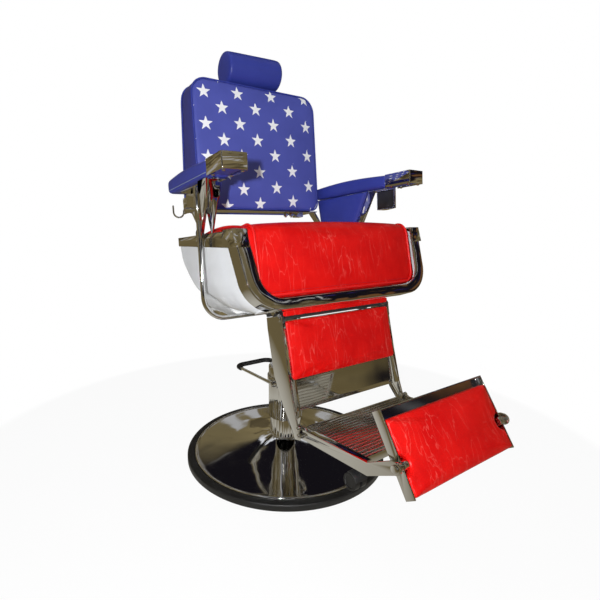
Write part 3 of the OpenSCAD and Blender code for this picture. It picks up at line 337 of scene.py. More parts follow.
def ramp(tree, value, low, high, a=0.0, b=1.0):
    """A value's range low..high carried over to a..b, held at the ends."""
    n = tree.nodes.new("ShaderNodeMapRange")
    tree.links.new(value, n.inputs[0])
    for i, v in zip((1, 2, 3, 4), (low, high, a, b)):
        n.inputs[i].default_value = v
    return n.outputs[0]


def group_sockets(tree, inputs, outputs):
    """Names the sockets of a node group."""
    for kind, name, value in inputs:
        s = tree.interface.new_socket(name, in_out="INPUT", socket_type=kind)
        if value is not None:
            s.default_value = value
    for kind, name in outputs:
        tree.interface.new_socket(name, in_out="OUTPUT", socket_type=kind)
    return tree.nodes.new("NodeGroupInput"), tree.nodes.new("NodeGroupOutput")


def vinyl_grain_group():
    """Fine upholstery grain: a small cell pattern with soft creases over it; puts out a normal and a wear mask."""
    g = bpy.data.node_groups.new("vinyl_grain", "ShaderNodeTree")
    sizes = [("NodeSocketFloat", "Grain size", 1100.0), ("NodeSocketFloat", "Grain depth", 0.12),
             ("NodeSocketFloat", "Crease depth", 0.3)]
    gi, go = group_sockets(g, sizes, [("NodeSocketVector", "Normal"), ("NodeSocketFloat", "Wear")])
    at = node(g, "ShaderNodeTexCoord").outputs["Object"]
    cells = node(g, "ShaderNodeTexVoronoi", {"Vector": at, "Scale": gi.outputs["Grain size"]}, feature="F1")
    fine = bumped(g, cells.outputs["Distance"], gi.outputs["Grain depth"], 0.0004)
    soft = object_noise(g, 55.0, 4.0, Roughness=0.6)
    coarse = bumped(g, soft, gi.outputs["Crease depth"], 0.0012, Normal=fine)
    g.links.new(coarse, go.inputs["Normal"])
    g.links.new(ramp(g, object_noise(g, 9.0, 3.0, Roughness=0.55), 0.35, 0.7), go.inputs["Wear"])
    return g


def handling_group():
    """Faint smudges and dust on polished metal; puts out a mask."""
    g = bpy.data.node_groups.new("handling_marks", "ShaderNodeTree")
    gi, go = group_sockets(g, [("NodeSocketFloat", "Size", 14.0), ("NodeSocketFloat", "Amount", 0.5)],
                           [("NodeSocketFloat", "Mask")])
    smear = ramp(g, object_noise(g, gi.outputs["Size"], 6.0, Roughness=0.62, Distortion=0.6), 0.48, 0.72)
    specks = ramp(g, object_noise(g, 420.0), 0.62, 0.75)
    total = maths(g, "MULTIPLY_ADD", specks, 0.35, smear)
    g.links.new(maths(g, "MULTIPLY", total, gi.outputs["Amount"]), go.inputs["Mask"])
    return g


vinyl_grain = vinyl_grain_group()
handling = handling_group()


def use_group(tree, group, **values):
    """A node group placed in a material with its own values."""
    n = tree.nodes.new("ShaderNodeGroup")
    n.node_tree = group
    for key, value in values.items():
        n.inputs[key.replace("_", " ")].default_value = value
    return n


chrome_tint, chrome_rough = (0.72, 0.715, 0.70), 0.045
star_blue, star_white = (0.072, 0.090, 0.42), (0.86, 0.87, 0.90)
star_pitch_x, star_pitch_y, star_radius = 0.127, 0.051, 0.0228


def shaded(colour, share):
    """A colour darkened to a share of itself."""
    return tuple(share * c for c in colour)


def chrome(name, wavy, marks=0.5):
    """Polished chrome plate with faint handling marks, on sheet that is not quite flat."""
    m, t, s = new_material(name)
    mask = use_group(t, handling, Amount=marks).outputs["Mask"]
    smudged = mixed(t, maths(t, "MULTIPLY", mask, 0.35), chrome_tint, shaded(chrome_tint, 0.8))
    wave = bumped(t, object_noise(t, 11.0, 1.0, Roughness=0.4), 1.0, wavy)
    finished(t, s, smudged, ramp(t, mask, 0.0, 1.0, chrome_rough, chrome_rough + 0.13), wave)
    s.inputs["Metallic"].default_value = 1.0
    return m


def plain_vinyl(name, colour, rough=0.36, depth=0.3):
    """Upholstery vinyl in one colour, with its grain, soft creases and slight handling wear."""
    m, t, s = new_material(name)
    g = use_group(t, vinyl_grain, Grain_depth=0.12, Crease_depth=depth)
    wear = g.outputs["Wear"]
    rubbed = mixed(t, wear, shaded(colour, 0.85), colour)
    finished(t, s, rubbed, ramp(t, wear, 0, 1, rough, rough + 0.09), g.outputs["Normal"])
    s.inputs["Specular IOR Level"].default_value = 0.4
    return m


def star_vinyl(name):
    """Blue vinyl printed with staggered rows of upright white stars; the print lies on the piece's own sheet
    map, in metres."""
    m, t, s = new_material(name)
    g = use_group(t, vinyl_grain, Grain_depth=0.10, Crease_depth=0.22)
    uv = node(t, "ShaderNodeUVMap", uv_map="sheet").outputs[0]
    xyz = node(t, "ShaderNodeSeparateXYZ", {"Vector": uv})
    across, up = xyz.outputs[0], xyz.outputs[1]
    row = maths(t, "FLOOR", maths(t, "DIVIDE", maths(t, "ADD", up, star_pitch_y / 2), star_pitch_y))
    odd = maths(t, "MULTIPLY", maths(t, "MODULO", maths(t, "ADD", row, 100.0), 2.0), star_pitch_x / 2)
    px = maths(t, "SUBTRACT", maths(t, "ADD", across, 50 * star_pitch_x + star_pitch_x / 2), odd)
    px = maths(t, "SUBTRACT", maths(t, "MODULO", px, star_pitch_x), star_pitch_x / 2)
    py = maths(t, "SUBTRACT", up, maths(t, "MULTIPLY", row, star_pitch_y))
    dist = maths(t, "SQRT", maths(t, "ADD", product(t, px, px), product(t, py, py)))
    fifth = 2 * math.pi / 5
    turn = maths(t, "ADD", maths(t, "ARCTAN2", px, py), 5 * fifth + fifth / 2)
    fold = maths(t, "ABSOLUTE", maths(t, "SUBTRACT", maths(t, "MODULO", turn, fifth), fifth / 2))
    tip = np.array([star_radius, 0.0])
    notch = 0.40 * star_radius * np.array([math.cos(fifth / 2), math.sin(fifth / 2)])
    run = notch - tip
    normal = np.array([run[1], -run[0]]) / np.linalg.norm(run)
    lean_to = maths(t, "COSINE", maths(t, "SUBTRACT", fold, math.atan2(normal[1], normal[0])))
    edge = maths(t, "SUBTRACT", product(t, dist, lean_to), float(normal @ tip))
    wear = g.outputs["Wear"]
    ground = mixed(t, wear, shaded(star_blue, 0.88), star_blue)
    printed = mixed(t, ramp(t, edge, -0.0003, 0.0003, 1.0, 0.0), ground, star_white)
    finished(t, s, printed, ramp(t, wear, 0, 1, 0.38, 0.47), g.outputs["Normal"])
    return m


def veined_vinyl(name):
    """Red vinyl with paler scratch-like veins that run mostly down the sheet, and cloudy patches."""
    m, t, s = new_material(name)
    g = use_group(t, vinyl_grain, Grain_depth=0.10, Crease_depth=0.30)
    at = node(t, "ShaderNodeTexCoord").outputs["Object"]
    stretch = {"Vector": at, "Scale": (1.0, 0.45, 0.22), "Rotation": (0.0, 0.30, 0.0)}
    long = node(t, "ShaderNodeMapping", stretch).outputs[0]
    warp = node(t, "ShaderNodeTexNoise", {"Vector": long, "Scale": 24.0, "Detail": 3.0, "Roughness": 0.55})
    bent = node(t, "ShaderNodeVectorMath", {0: warp.outputs["Color"], "Scale": 0.055}, operation="SCALE").outputs[0]
    bent = node(t, "ShaderNodeVectorMath", {0: long, 1: bent}, operation="ADD").outputs[0]
    cracks = node(t, "ShaderNodeTexVoronoi", {"Vector": bent, "Scale": 46.0}, feature="DISTANCE_TO_EDGE")
    thin = ramp(t, cracks.outputs["Distance"], 0.004, 0.032, 1.0, 0.0)
    veins = product(t, thin, ramp(t, object_noise(t, 17.0, 3.0), 0.38, 0.62), 0.42)
    cloud = ramp(t, object_noise(t, 16.0, 5.0, Roughness=0.6), 0.35, 0.72)
    base = mixed(t, cloud, (0.50, 0.002, 0.002), (0.62, 0.006, 0.004))
    rough = ramp(t, g.outputs["Wear"], 0, 1, 0.33, 0.44)
    finished(t, s, mixed(t, veins, base, (0.78, 0.12, 0.10)), rough, g.outputs["Normal"])
    s.inputs["Specular IOR Level"].default_value = 0.16
    return m


def enamel(name):
    """Baked white enamel: smooth and glossy, with a slight waviness and faint dust."""
    m, t, s = new_material(name)
    mask = use_group(t, handling, Size=6.0, Amount=0.5).outputs["Mask"]
    wave = bumped(t, object_noise(t, 5.0, 1.0), 0.15, 0.004)
    dusty = mixed(t, mask, (0.72, 0.735, 0.76), (0.66, 0.675, 0.70))
    finished(t, s, dusty, ramp(t, mask, 0, 1, 0.12, 0.28), wave)
    s.inputs["Coat Weight"].default_value = 0.3
    s.inputs["Coat Roughness"].default_value = 0.05
    return m


def moulded(name, colour, rough, size=900.0):
    """Moulded rubber or plastic, or black paint: fine surface texture and a little grey dust."""
    m, t, s = new_material(name)
    dust = use_group(t, handling, Size=22.0, Amount=0.6).outputs["Mask"]
    texture = bumped(t, object_noise(t, size, 3.0), 0.25, 0.0005)
    dusty = mixed(t, dust, colour, tuple(c * 1.6 + 0.01 for c in colour))
    finished(t, s, dusty, ramp(t, dust, 0, 1, rough, rough + 0.15), texture)
    return m


def plywood(name):
    """Bare plywood: long grain along X with darker growth lines."""
    m, t, s = new_material(name)
    at = node(t, "ShaderNodeTexCoord").outputs["Object"]
    long = node(t, "ShaderNodeMapping", {"Vector": at, "Scale": (0.12, 1.0, 1.0)}).outputs[0]
    lines = node(t, "ShaderNodeTexNoise", {"Vector": long, "Scale": 90.0, "Detail": 6.0, "Distortion": 0.4})
    grain = lines.outputs["Fac"]
    t.links.new(mixed(t, grain, (0.34, 0.20, 0.10), (0.55, 0.38, 0.21)), s.inputs["Base Color"])
    t.links.new(bumped(t, grain, 0.3, 0.0005), s.inputs["Normal"])
    s.inputs["Roughness"].default_value = 0.65
    return m


bright = chrome("chrome_bright", 0.0035)
flat_chrome = chrome("chrome_flat", 0.0004, marks=0.25)
spun_chrome = chrome("chrome_spun", 0.0012)
blue_vinyl = plain_vinyl("blue_vinyl", (0.036, 0.052, 0.335))
blue_side = plain_vinyl("blue_vinyl_boxing", (0.045, 0.050, 0.27), rough=0.42)
stars = star_vinyl("star_vinyl")
red_vinyl = veined_vinyl("red_vinyl")
red_welt = plain_vinyl("red_welt", (0.72, 0.012, 0.012), rough=0.32, depth=0.1)
pale_thread = plain_vinyl("pale_thread", (0.30, 0.36, 0.50), rough=0.5)
red_thread = plain_vinyl("red_thread", (0.30, 0.006, 0.02), rough=0.6)
white_enamel = enamel("white_enamel")
black_rubber = moulded("black_rubber", (0.004, 0.004, 0.0045), rough=0.5)
black_plastic = moulded("black_plastic", (0.014, 0.014, 0.015), rough=0.38, size=500.0)
black_paint = moulded("black_paint", (0.018, 0.018, 0.020), rough=0.35, size=300.0)
board_wood = plywood("seat_board_wood")

by_slot = {
    "chrome": bright, "dark_steel": black_paint, "black_rubber": black_rubber, "black_plastic": black_plastic,
    "blue_vinyl": blue_vinyl, "star_vinyl": stars, "red_vinyl": red_vinyl, "white_enamel": white_enamel,
    "plywood": board_wood,
}
slot_of = {s["node"]: s["material_slot"] for s in frame["record"]["subparts"]}
flat_parts = ("mirror_plate", "foot_plate", "kick_tray", "arm_cap_right", "arm_cap_left", "arm_bracket_right",
              "arm_bracket_left", "ashtray_housing", "leg_channel_right", "leg_channel_left")


def finish_of(node_name):
    """The finish of a CAD node: its slot's own, or flat chrome for flat sheet."""
    return flat_chrome if node_name in flat_parts else by_slot[slot_of[node_name]]


for name, obj in cad_nodes.items():
    if not obj.material_slots:
        obj.data.materials.append(None)
    for held in obj.material_slots:
        held.material = finish_of(name)


# ---------- soft goods
def inflated(points, faces, pinned, voxel, pressure, most):
    """A closed cover blown up from inside: a remeshed skin is run as cloth with gentle pressure, with the
    points named by pinned(points) held, and no point moves more than most. Returns points and faces."""
    form = linked("cover_form", mesh_of("cover_form", points, faces))
    outward(form)
    remesh = form.modifiers.new("even", "REMESH")
    remesh.mode = "VOXEL"
    remesh.voxel_size = voxel * 0.001
    bpy.context.view_layer.update()
    even = settled(form)
    bpy.data.objects.remove(form)
    start = points_of(even)
    cover = linked("cover_cloth", even)
    held = cover.vertex_groups.new(name="held")
    held.add(np.nonzero(pinned(start * 1000))[0].tolist(), 1.0, "REPLACE")
    cloth = cover.modifiers.new("cloth", "CLOTH")
    c = cloth.settings
    c.quality = 5
    c.mass = 0.3
    c.use_pressure = True
    c.uniform_pressure_force = pressure
    c.tension_stiffness = c.compression_stiffness = c.shear_stiffness = 15.0
    c.bending_stiffness = 0.8
    c.vertex_group_mass = "held"
    c.effector_weights.gravity = 0.0
    cloth.collision_settings.use_self_collision = False
    cloth.point_cache.frame_start, cloth.point_cache.frame_end = 1, 20
    scene = bpy.context.scene
    for step in range(1, 21):
        scene.frame_set(step)
    done = settled(cover)
    move = points_of(done) - start
    size = np.linalg.norm(move, axis=1, keepdims=True)
    move *= np.minimum(1.0, most * 0.001 / np.maximum(size, 1e-9))
    out_faces = [tuple(p.vertices) for p in done.polygons]
    bpy.data.objects.remove(cover)
    scene.frame_set(1)
    return (start + move) * 1000, out_faces


def soften(points, faces, rounds):
    """Laplace smoothing: each point moves half way to the mean of its neighbours."""
    p = np.array(points, float)
    e = np.array([(f[i], f[(i + 1) % len(f)]) for f in faces for i in range(len(f))])
    e = np.unique(np.sort(e, axis=1), axis=0)
    n = np.bincount(e.ravel(), minlength=len(p)).astype(float)
    for _ in range(rounds):
        total = np.zeros_like(p)
        np.add.at(total, e[:, 0], p[e[:, 1]])
        np.add.at(total, e[:, 1], p[e[:, 0]])
        p = p + 0.5 * (total / n[:, None] - p)
    return p


def arc(centre, r, a0, a1, n):
    """n + 1 points on an arc, degrees a0 to a1."""
    a = np.radians(np.linspace(a0, a1, n + 1))
    return np.stack([centre[0] + r * np.cos(a), centre[1] + r * np.sin(a)], -1)


def rounded_outline(a, lo, hi, r_lo, r_hi, n):
    """n points at equal steps round a rectangle from -a to a and lo to hi, with round corners."""
    raw = np.vstack([arc((a - r_lo, lo + r_lo), r_lo, -90, 0, 10), arc((a - r_hi, hi - r_hi), r_hi, 0, 90, 10),
                     arc((-a + r_hi, hi - r_hi), r_hi, 90, 180, 10), arc((-a + r_lo, lo + r_lo), r_lo, 180, 270, 10)])
    flat = np.c_[raw, np.zeros(len(raw))]
    return even_path(flat, n, closed=True)[:, :2]


def split_soft(obj, material, pick):
    """Gives the faces picked by pick(centres, normals) a second material."""
    mesh = obj.data
    mesh.materials.append(material)
    n = len(mesh.polygons)
    c, d = np.zeros(n * 3), np.zeros(n * 3)
    mesh.polygons.foreach_get("center", c)
    mesh.polygons.foreach_get("normal", d)
    which = pick(c.reshape(-1, 3) * 1000, d.reshape(-1, 3)).astype(int)
    mesh.polygons.foreach_set("material_index", which)


def subdivide(obj):
    """One subdivision, the same in the view and the render."""
    m = obj.modifiers.new("smooth", "SUBSURF")
    m.levels = m.render_levels = 1


# --- seat cushion
cushion_hw, cushion_rise, cushion_rear, cushion_low = 278.0, 20.0, 319.0, -165.0
cushion_under, seam_share = -41.0, 0.938


def cushion_side():
    """Side outline of the seat cushion as [u, w]: rear edge, crown, front roll, front face, foot, board."""
    s = np.arange(1, 20) / 20
    crown_w = 4 + (cushion_rise - 4) * np.sin(np.radians(150 * s))
    crown = np.c_[cushion_rear - 22 - (cushion_rear - 60) * s, crown_w]
    s = np.arange(1, 16) / 16
    face = np.c_[-9 - 21 * s, -8 - (-8 - cushion_low - 16) * s]
    under = [[u, cushion_under] for u in (30, 60, 120, 200, 260, 307)]
    return np.vstack([arc((cushion_rear - 22, -16), 22, 0, 80, 8), crown, arc((24, cushion_rise - 36), 34, 84, 160, 12),
                      face, arc((-14, cushion_low + 16), 16, 190, 280, 10),
                      [[8, cushion_low + 4], [20, cushion_low + 40]], under])


def cushion_ring(x, share):
    """The side outline at x, drawn in towards its middle by share."""
    side = cushion_side()
    side = even_path(np.c_[side, np.zeros(len(side))], 120, closed=True)[:, :2]
    mid = np.array([60.0, -70.0])
    q = mid + (side - mid) * share
    flat = (side[:, 1] < cushion_under + 0.5) & (side[:, 1] > cushion_under - 0.5)
    q[flat, 1] = cushion_under
    return np.c_[np.full(len(q), x), q]


def cushion_shape():
    """Closed cover of the seat cushion: full section across the middle, a rounded edge at the end seam, then a
    narrow end band."""
    x = np.r_[0, 0.3, 0.55, 0.72, 0.82, 0.885, 0.92, seam_share, 0.950, 0.962, 0.980, 0.994, 1.0, 1.0] * cushion_hw
    f = np.r_[1.0, 1.0, 0.998, 0.992, 0.984, 0.972, 0.955, 0.938, 0.930, 0.925, 0.915, 0.890, 0.85, 0.70]
    xs = np.r_[-x[::-1][:-1], x]
    fs = np.r_[f[::-1][:-1], f]
    return skin([cushion_ring(a, b) for a, b in zip(xs, fs)], in_seat)


def seat_held(points):
    """The underside, foot, ends and rear of the seat cushion and narrow strips along its seams are held while it
    is blown up."""
    x, u, w = own(points, in_seat).T
    x = np.abs(x)
    seam = np.abs(x - seam_share * cushion_hw) < 5.0
    return seam | (x > 0.975 * cushion_hw) | ((w < -30) & (u > 0)) | (u > 290) | (w < -150)


points, faces = cushion_shape()
points, faces = inflated(points, faces, seat_held, voxel=6.0, pressure=3.0, most=4.5)
points = soften(points, faces, 3)
seat_cushion = make_piece("seat_cushion_cover", points, faces, "seat", "red_vinyl", red_vinyl,
                          replaces=("seat_cushion", "front_roll"))
outward(seat_cushion)
subdivide(seat_cushion)


def seat_welt_line():
    """Path of the front welt: down one end of the front roll, along its foot and up the other end."""
    x = 0.935 * cushion_hw
    left = cushion_ring(-x, 0.958)[:57]
    bend = np.array([cushion_ring(-x + dx, 0.968)[k] for dx, k in ((2, 59), (8, 61))])
    foot = np.array([cushion_ring(t, 0.985)[62] for t in np.linspace(-(x - 22), x - 22, 70)])
    half = np.vstack([left, bend])
    return placed(even_path(np.vstack([half, foot, (half * [-1, 1, 1])[::-1]]), 420), in_seat)


make_piece("seat_cushion_welt", *tube(seat_welt_line(), 2.8, (0.2, -1, 0.3), 10), "seat", "red_vinyl", red_welt)
above = np.array([cushion_ring(t, 0.992)[61] for t in np.linspace(-0.85, 0.85, 70) * cushion_hw])
thread_line = placed(above, in_seat) + [0, -1.0, 0.4]
make_piece("seat_cushion_stitches", *stitches(thread_line, (0, -1, 0.2)), "seat", "red_vinyl", red_thread)


# --- back cushion
back_hw, back_h, back_t_top, back_t_foot, board_t = 228.0, 386.0, 85.0, 130.0, 12.0


def back_thickness(v):
    """Thickness of the back at height v, from the seam in front to the board's rear face."""
    return back_t_foot + (back_t_top - back_t_foot) * v / back_h


def back_cover():
    """Closed cover of the back cushion: a crowned front panel, a boxing that bulges a little, and a flat rear."""
    steps = [(0.5, 1.0, 0), (-0.6, 0.8, 0), (-1.0, 0.55, 0), (-0.8, 0.3, 0), (-0.2, 0.12, 0), (1.5, 0.03, 0),
             (4, 0.0, 0.6), (8, 0, 2.2), (16, 0, 4.2), (28, 0, 5.8), (45, 0, 6.9), (70, 0, 7.6), (100, 0, 8.0),
             (140, 0, 8.0), (180, 0, 8.0)]
    rows = []
    for inset, f, crown in steps:
        r_low, r_high = max(5, 28 - inset * 0.3), max(8, 50 - inset * 0.4)
        o = rounded_outline(back_hw - inset, inset, back_h - inset, r_low, r_high, 144)
        deep = back_thickness(o[:, 1]) - board_t - 0.5
        rows.append(stood_up(o, deep * f - crown))
    return skin(rows, in_back)


star_heights = np.array([359.3, 313.9, 266.6, 217.8, 169.0, 117.8, 66.0, 18.0])
star_first, star_step, star_growth, star_rise = -77, 119.5, 5.6, 0.083


def sheet_map(obj, place):
    """Writes the printed sheet's map: across = c * pitch and up = -row * pitch at each star's centre, at the
    panel's own scale round it. The sheet is stretched a little to the panel's left, so a star of column c is at
    x = first + step * c + growth * c^2, and its rows rise to the left. star_heights are the heights of the rows
    at the panel's middle line, top row first."""
    mesh = obj.data
    q = own(points_of(mesh) * 1000, place)
    x, v = q[:, 0], q[:, 2] - star_rise * q[:, 0]
    row = np.argmin(np.abs(v[:, None] - star_heights[None, :]), axis=1)
    inside = np.maximum(star_step ** 2 + 4 * star_growth * (x - star_first), 1.0)
    c = (-star_step + np.sqrt(inside)) / (2 * star_growth)
    half = 0.5 * (row % 2)
    c = np.round(c - half) + half
    off = x - (star_first + star_step * c + star_growth * c ** 2)
    across = c * star_pitch_x * 1000 + off
    up = -row * star_pitch_y * 1000 + v - star_heights[row] + star_rise * off
    loops = np.zeros(len(mesh.loops), int)
    mesh.loops.foreach_get("vertex_index", loops)
    uv = mesh.uv_layers.new(name="sheet")
    uv.data.foreach_set("uv", (np.c_[across, up][loops] / 1000).astype(np.float32).ravel())


def back_held(points):
    """The rear of the back cushion and a narrow strip along its front seam are held while it is blown up."""
    x, t, v = own(points, in_back).T
    r = 46.0
    out_x, out_v = np.abs(x) - (back_hw - r), np.abs(v - back_h / 2) - (back_h / 2 - r)
    corner = np.hypot(np.maximum(out_x, 0), np.maximum(out_v, 0)) - r
    return (t > 60.0) | ((t < 7.0) & (corner > -9.0)) | (v < 6.0)


points, faces = back_cover()
points, faces = inflated(points, faces, back_held, voxel=5.0, pressure=3.0, most=9.0)
points = soften(points, faces, 3)
back_cushion = make_piece("back_cushion_cover", points, faces, "back", "star_vinyl", stars,
                          replaces=("back_cushion",))
outward(back_cushion)


def is_boxing(centres, normals):
    """Faces of the back cushion behind its front seam."""
    deep, turned = own(centres, in_back)[:, 1], normals @ in_back[:3, :3]
    return (deep > 4.0) | (turned[:, 1] > -0.45)


split_soft(back_cushion, blue_side, is_boxing)
sheet_map(back_cushion, in_back)
subdivide(back_cushion)

front_seam = rounded_outline(back_hw - 1.0, 1.0, back_h - 1.0, 27, 49, 320)
rear_seam = rounded_outline(back_hw + 0.2, -0.2, back_h + 0.2, 27, 49, 320)
rear_depth = back_thickness(rear_seam[:, 1]) - board_t - 1.5
welts = [tube(placed(stood_up(line, t), in_back), r, in_back[:3, 1], 10, closed=True)
         for line, t, r in ((front_seam, 2.0, 2.6), (rear_seam, rear_depth, 2.4))]
make_piece("back_welts", *join(welts), "back", "blue_vinyl", blue_vinyl)


def back_shell():
    """Rear board of the back, covered in vinyl: rounded edge, slightly crowned rear face."""
    steps = [(6, 0), (1.5, 0.5), (0.3, 2.5), (0.0, 6), (0.5, 9.5), (2.5, 11.6), (6, 12), (30, 12.6), (80, 13.0),
             (150, 13.0)]
    rows = []
    for inset, deep in steps:
        r_low, r_high = max(6, 27 - inset * 0.3), max(9, 49 - inset * 0.3)
        o = rounded_outline(back_hw - inset, inset, back_h - inset, r_low, r_high, 144)
        rows.append(stood_up(o, back_thickness(o[:, 1]) - board_t + deep))
    return skin(rows, in_back)


back_board = make_piece("back_board_cover", *back_shell(), "back", "blue_vinyl", blue_vinyl, replaces=("back_board",))
outward(back_board)
subdivide(back_board)


# --- headrest roll
roll_half, roll_r, roll_t, roll_v, roll_tilt = 98.0, 50.0, 35, 445, 2.2


def roll_cover():
    """Headrest roll: a cylinder with softly rounded ends, a little higher at one end."""
    end = np.array([[1.0, 0.0], [1.0, 0.25], [0.999, 0.55], [0.995, 0.75], [0.983, 0.885], [0.962, 0.955],
                    [0.93, 0.985], [0.86, 0.998], [0.6, 1.0], [0.3, 1.0], [0, 1.0]])
    prof = np.vstack([end[1:] * [-1, 1], end[::-1][1:-1]])
    a = np.linspace(0, 2 * np.pi, 72, endpoint=False)
    rows = np.stack([np.c_[np.full(72, roll_half * along), roll_t + roll_r * out * np.cos(a),
                           roll_v + roll_r * out * np.sin(a)] for along, out in prof])
    rows[..., 2] += math.tan(math.radians(roll_tilt)) * rows[..., 0]
    return skin(rows, in_back)


headrest = make_piece("headrest_cover", *roll_cover(), "headrest", "blue_vinyl", blue_vinyl,
                      replaces=("headrest_roll",))
outward(headrest)
subdivide(headrest)


# --- arm pads
arm_hw, arm_low, arm_h, arm_x, arm_front, arm_l, cap_l = 32.0, 130.0, 168.0, 334.0, -12.0, 404.0, 93.0
left_extra, pad_crown, cap_gap = 16, 9, 2.6


def rounded_box(half_wide, half_high, p, q, n):
    """n points round a box section with rounded corners; smaller powers p and q make them squarer."""
    a = np.linspace(0, 2 * np.pi, n, endpoint=False)
    c, s = np.cos(a), np.sin(a)
    return half_wide * np.sign(c) * np.abs(c) ** p, half_high * np.sign(s) * np.abs(s) ** q


def in_side_frame(side):
    """The frame of the sitter's left arm, or its mirror image for the right one."""
    return in_arm if side > 0 else mirror_x @ in_arm


def arm_ring(u, hw, lo, hi):
    """Rounded-box section of an arm pad at u."""
    x, w = rounded_box(hw, (hi - lo) / 2, 0.38, 0.5, 64)
    return np.c_[arm_x - arm_hw + x, np.full(64, u), (lo + hi) / 2 + w]


def arm_cover(side):
    """Arm pad: narrow where it sits in its metal cap, crowned along its length, blunt with a rounded corner at
    the rear."""
    rear = arm_l + arm_front + (left_extra if side > 0 else 0)
    low, cap_end = arm_low + 0.3, arm_front + cap_l
    rows = [arm_ring(u, arm_hw - cap_gap, low + cap_gap, arm_h - cap_gap)
            for u in (arm_front + 4, arm_front + 30, cap_end - 6, cap_end - 1)]
    rows.append(arm_ring(cap_end + 0.5, arm_hw - 1.6, low, arm_h - 0.5))
    rows += [arm_ring(u, arm_hw, low, arm_h + pad_crown * math.sin(math.radians(180 * (u - 80) / (rear - 60))))
             for u in np.linspace(90, rear - 13, 16)]
    for t in np.radians([15, 30, 45, 60, 75, 90]):
        drop = 1 - math.cos(t)
        rows.append(arm_ring(rear - 12 + 12 * math.sin(t), arm_hw - 11 * drop, low + 9 * drop, arm_h + 1.6 - 12 * drop))
    rows.append(arm_ring(rear + 0.8, arm_hw - 19, low + 15, arm_h - 17))
    return skin(rows, in_side_frame(side))


for side, word in ((-1, "right"), (1, "left")):
    pad = make_piece("arm_pad_cover_" + word, *arm_cover(side), "seat", "blue_vinyl", blue_vinyl,
                     replaces=("arm_pad_" + word,))
    outward(pad)
    subdivide(pad)

pad_u = np.linspace(arm_front + cap_l + 2, arm_front + arm_l - 14, 120)
edge = np.c_[np.full(120, arm_x + 0.2), pad_u, np.full(120, arm_low + 8.5)]
piping = tube(placed(edge, in_side_frame(-1)), 0.8, (0, 0, 1), 6)
make_piece("arm_pad_piping_right", *piping, "seat", "blue_vinyl", pale_thread)


# --- inner side panels
panel_x = 266.0
panel_tall = np.array([[157, 128], [213, 26], [376, 26], [392, 128.0]])
panel_short = np.array([[136, 128], [162, 76], [366, 76], [384, 128.0]])


def panel_cover(shape, side):
    """Padded side panel: its outline drawn in and raised towards the sitter in steps."""
    share = np.linspace(0, 1, 30, endpoint=False)[:, None]
    edge = np.vstack([shape[e] + (shape[(e + 1) % 4] - shape[e]) * share for e in range(4)])
    centre = shape.mean(0)
    d = edge - centre
    r = np.linalg.norm(d, axis=1, keepdims=True)
    rows = []
    for inset, x in [(1, 14.7), (0, 12), (0, 9), (1, 6.5), (3, 4.2), (6, 2.6), (12, 1.2), (20, 0.4), (32, 0)]:
        rows.append(np.c_[np.full(len(d), panel_x + x), centre + d * (r - inset) / r])
    return skin(rows, in_side_frame(side))


for side, word, shape in ((-1, "right", panel_short), (1, "left", panel_tall)):
    panel = make_piece("side_panel_cover_" + word, *panel_cover(shape, side), "seat", "blue_vinyl", blue_vinyl,
                       replaces=("side_panel_" + word,))
    outward(panel)


# --- leg pad, kick pad and apron
kick_hw, kick_low, kick_high, notch_r = 170.0, -62.0, 108.0, 15.0
leg_hw, leg_low, leg_high = 181, -175, -25


def kick_outline(inset):
    """Outline of the kick pad with a half-round cut-out at each pivot, drawn in by inset."""
    a, r = kick_hw - 4 - inset, notch_r + 3 + inset
    low, high = kick_low + 2 + inset, kick_high - 21 - inset
    half = np.vstack([
        np.c_[np.linspace(0, a - 3, 24), np.full(24, low)], arc((a - 3, low + 3), 3, -80, 0, 3),
        np.c_[np.full(8, a), np.linspace(low + 5, -r - 3, 8)], arc((a, 0), r, -90, -270, 20),
        np.c_[np.full(10, a), np.linspace(r + 3, high - 5, 10)], arc((a - 3, high - 3), 3, 0, 80, 3),
        np.c_[np.linspace(a - 4, 1, 23), np.full(23, high)]])
    return np.vstack([half, (half * [-1, 1])[::-1][:-1]])


def leg_outline(inset):
    """Outline of the leg pad, drawn in by inset."""
    return rounded_outline(leg_hw - inset, leg_low + inset, leg_high - inset, 3.5, 5, 200)


def slab(outline, steps, place):
    """A closed cushion form: an outline drawn in and raised in steps, with a flat panel over each end."""
    rows = np.array([stood_up(outline(inset), t) for inset, t in steps])
    m, n = rows.shape[:2]
    points = placed(rows.reshape(-1, 3), place)
    faces = [tuple(f) for f in grid_faces(m, n)]
    return points, faces + [tuple(range(n))[::-1], tuple(range((m - 1) * n, m * n))]


def padded_shape(outline, steps, place, held_from, pressure, most):
    """A slab blown up from inside and smoothed; its points deeper than held_from are held."""
    points, faces = slab(outline, steps, place)
    points, faces = inflated(points, faces, lambda p: own(p, place)[:, 1] > held_from, 4.0, pressure, most)
    return soften(points, faces, 3), faces


leg_steps = [(1, -12), (0, -14), (0, -16), (0.8, -18), (2.6, -19.6), (6, -20.4)]
leg_pad = make_piece("leg_pad_cover", *padded_shape(leg_outline, leg_steps, in_leg, -15.0, 3.0, 4.5), "leg",
                     "red_vinyl", red_vinyl, replaces=("leg_pad",))
outward(leg_pad)
subdivide(leg_pad)

kick_steps = [(1, 12), (0, 9), (0, 0), (0.4, -3), (1.4, -5.2), (3.2, -6.6), (6.5, -7.4)]
kick_pad = make_piece("kick_pad_cover", *padded_shape(kick_outline, kick_steps, in_kick, 2.0, 4.0, 9.0), "kick",
                      "red_vinyl", red_vinyl, replaces=("kick_pad",))
outward(kick_pad)
subdivide(kick_pad)


apron_hw, apron_u, apron_w, apron_half_t, apron_half_h = 183, 4, -205.25, 2, 6.75


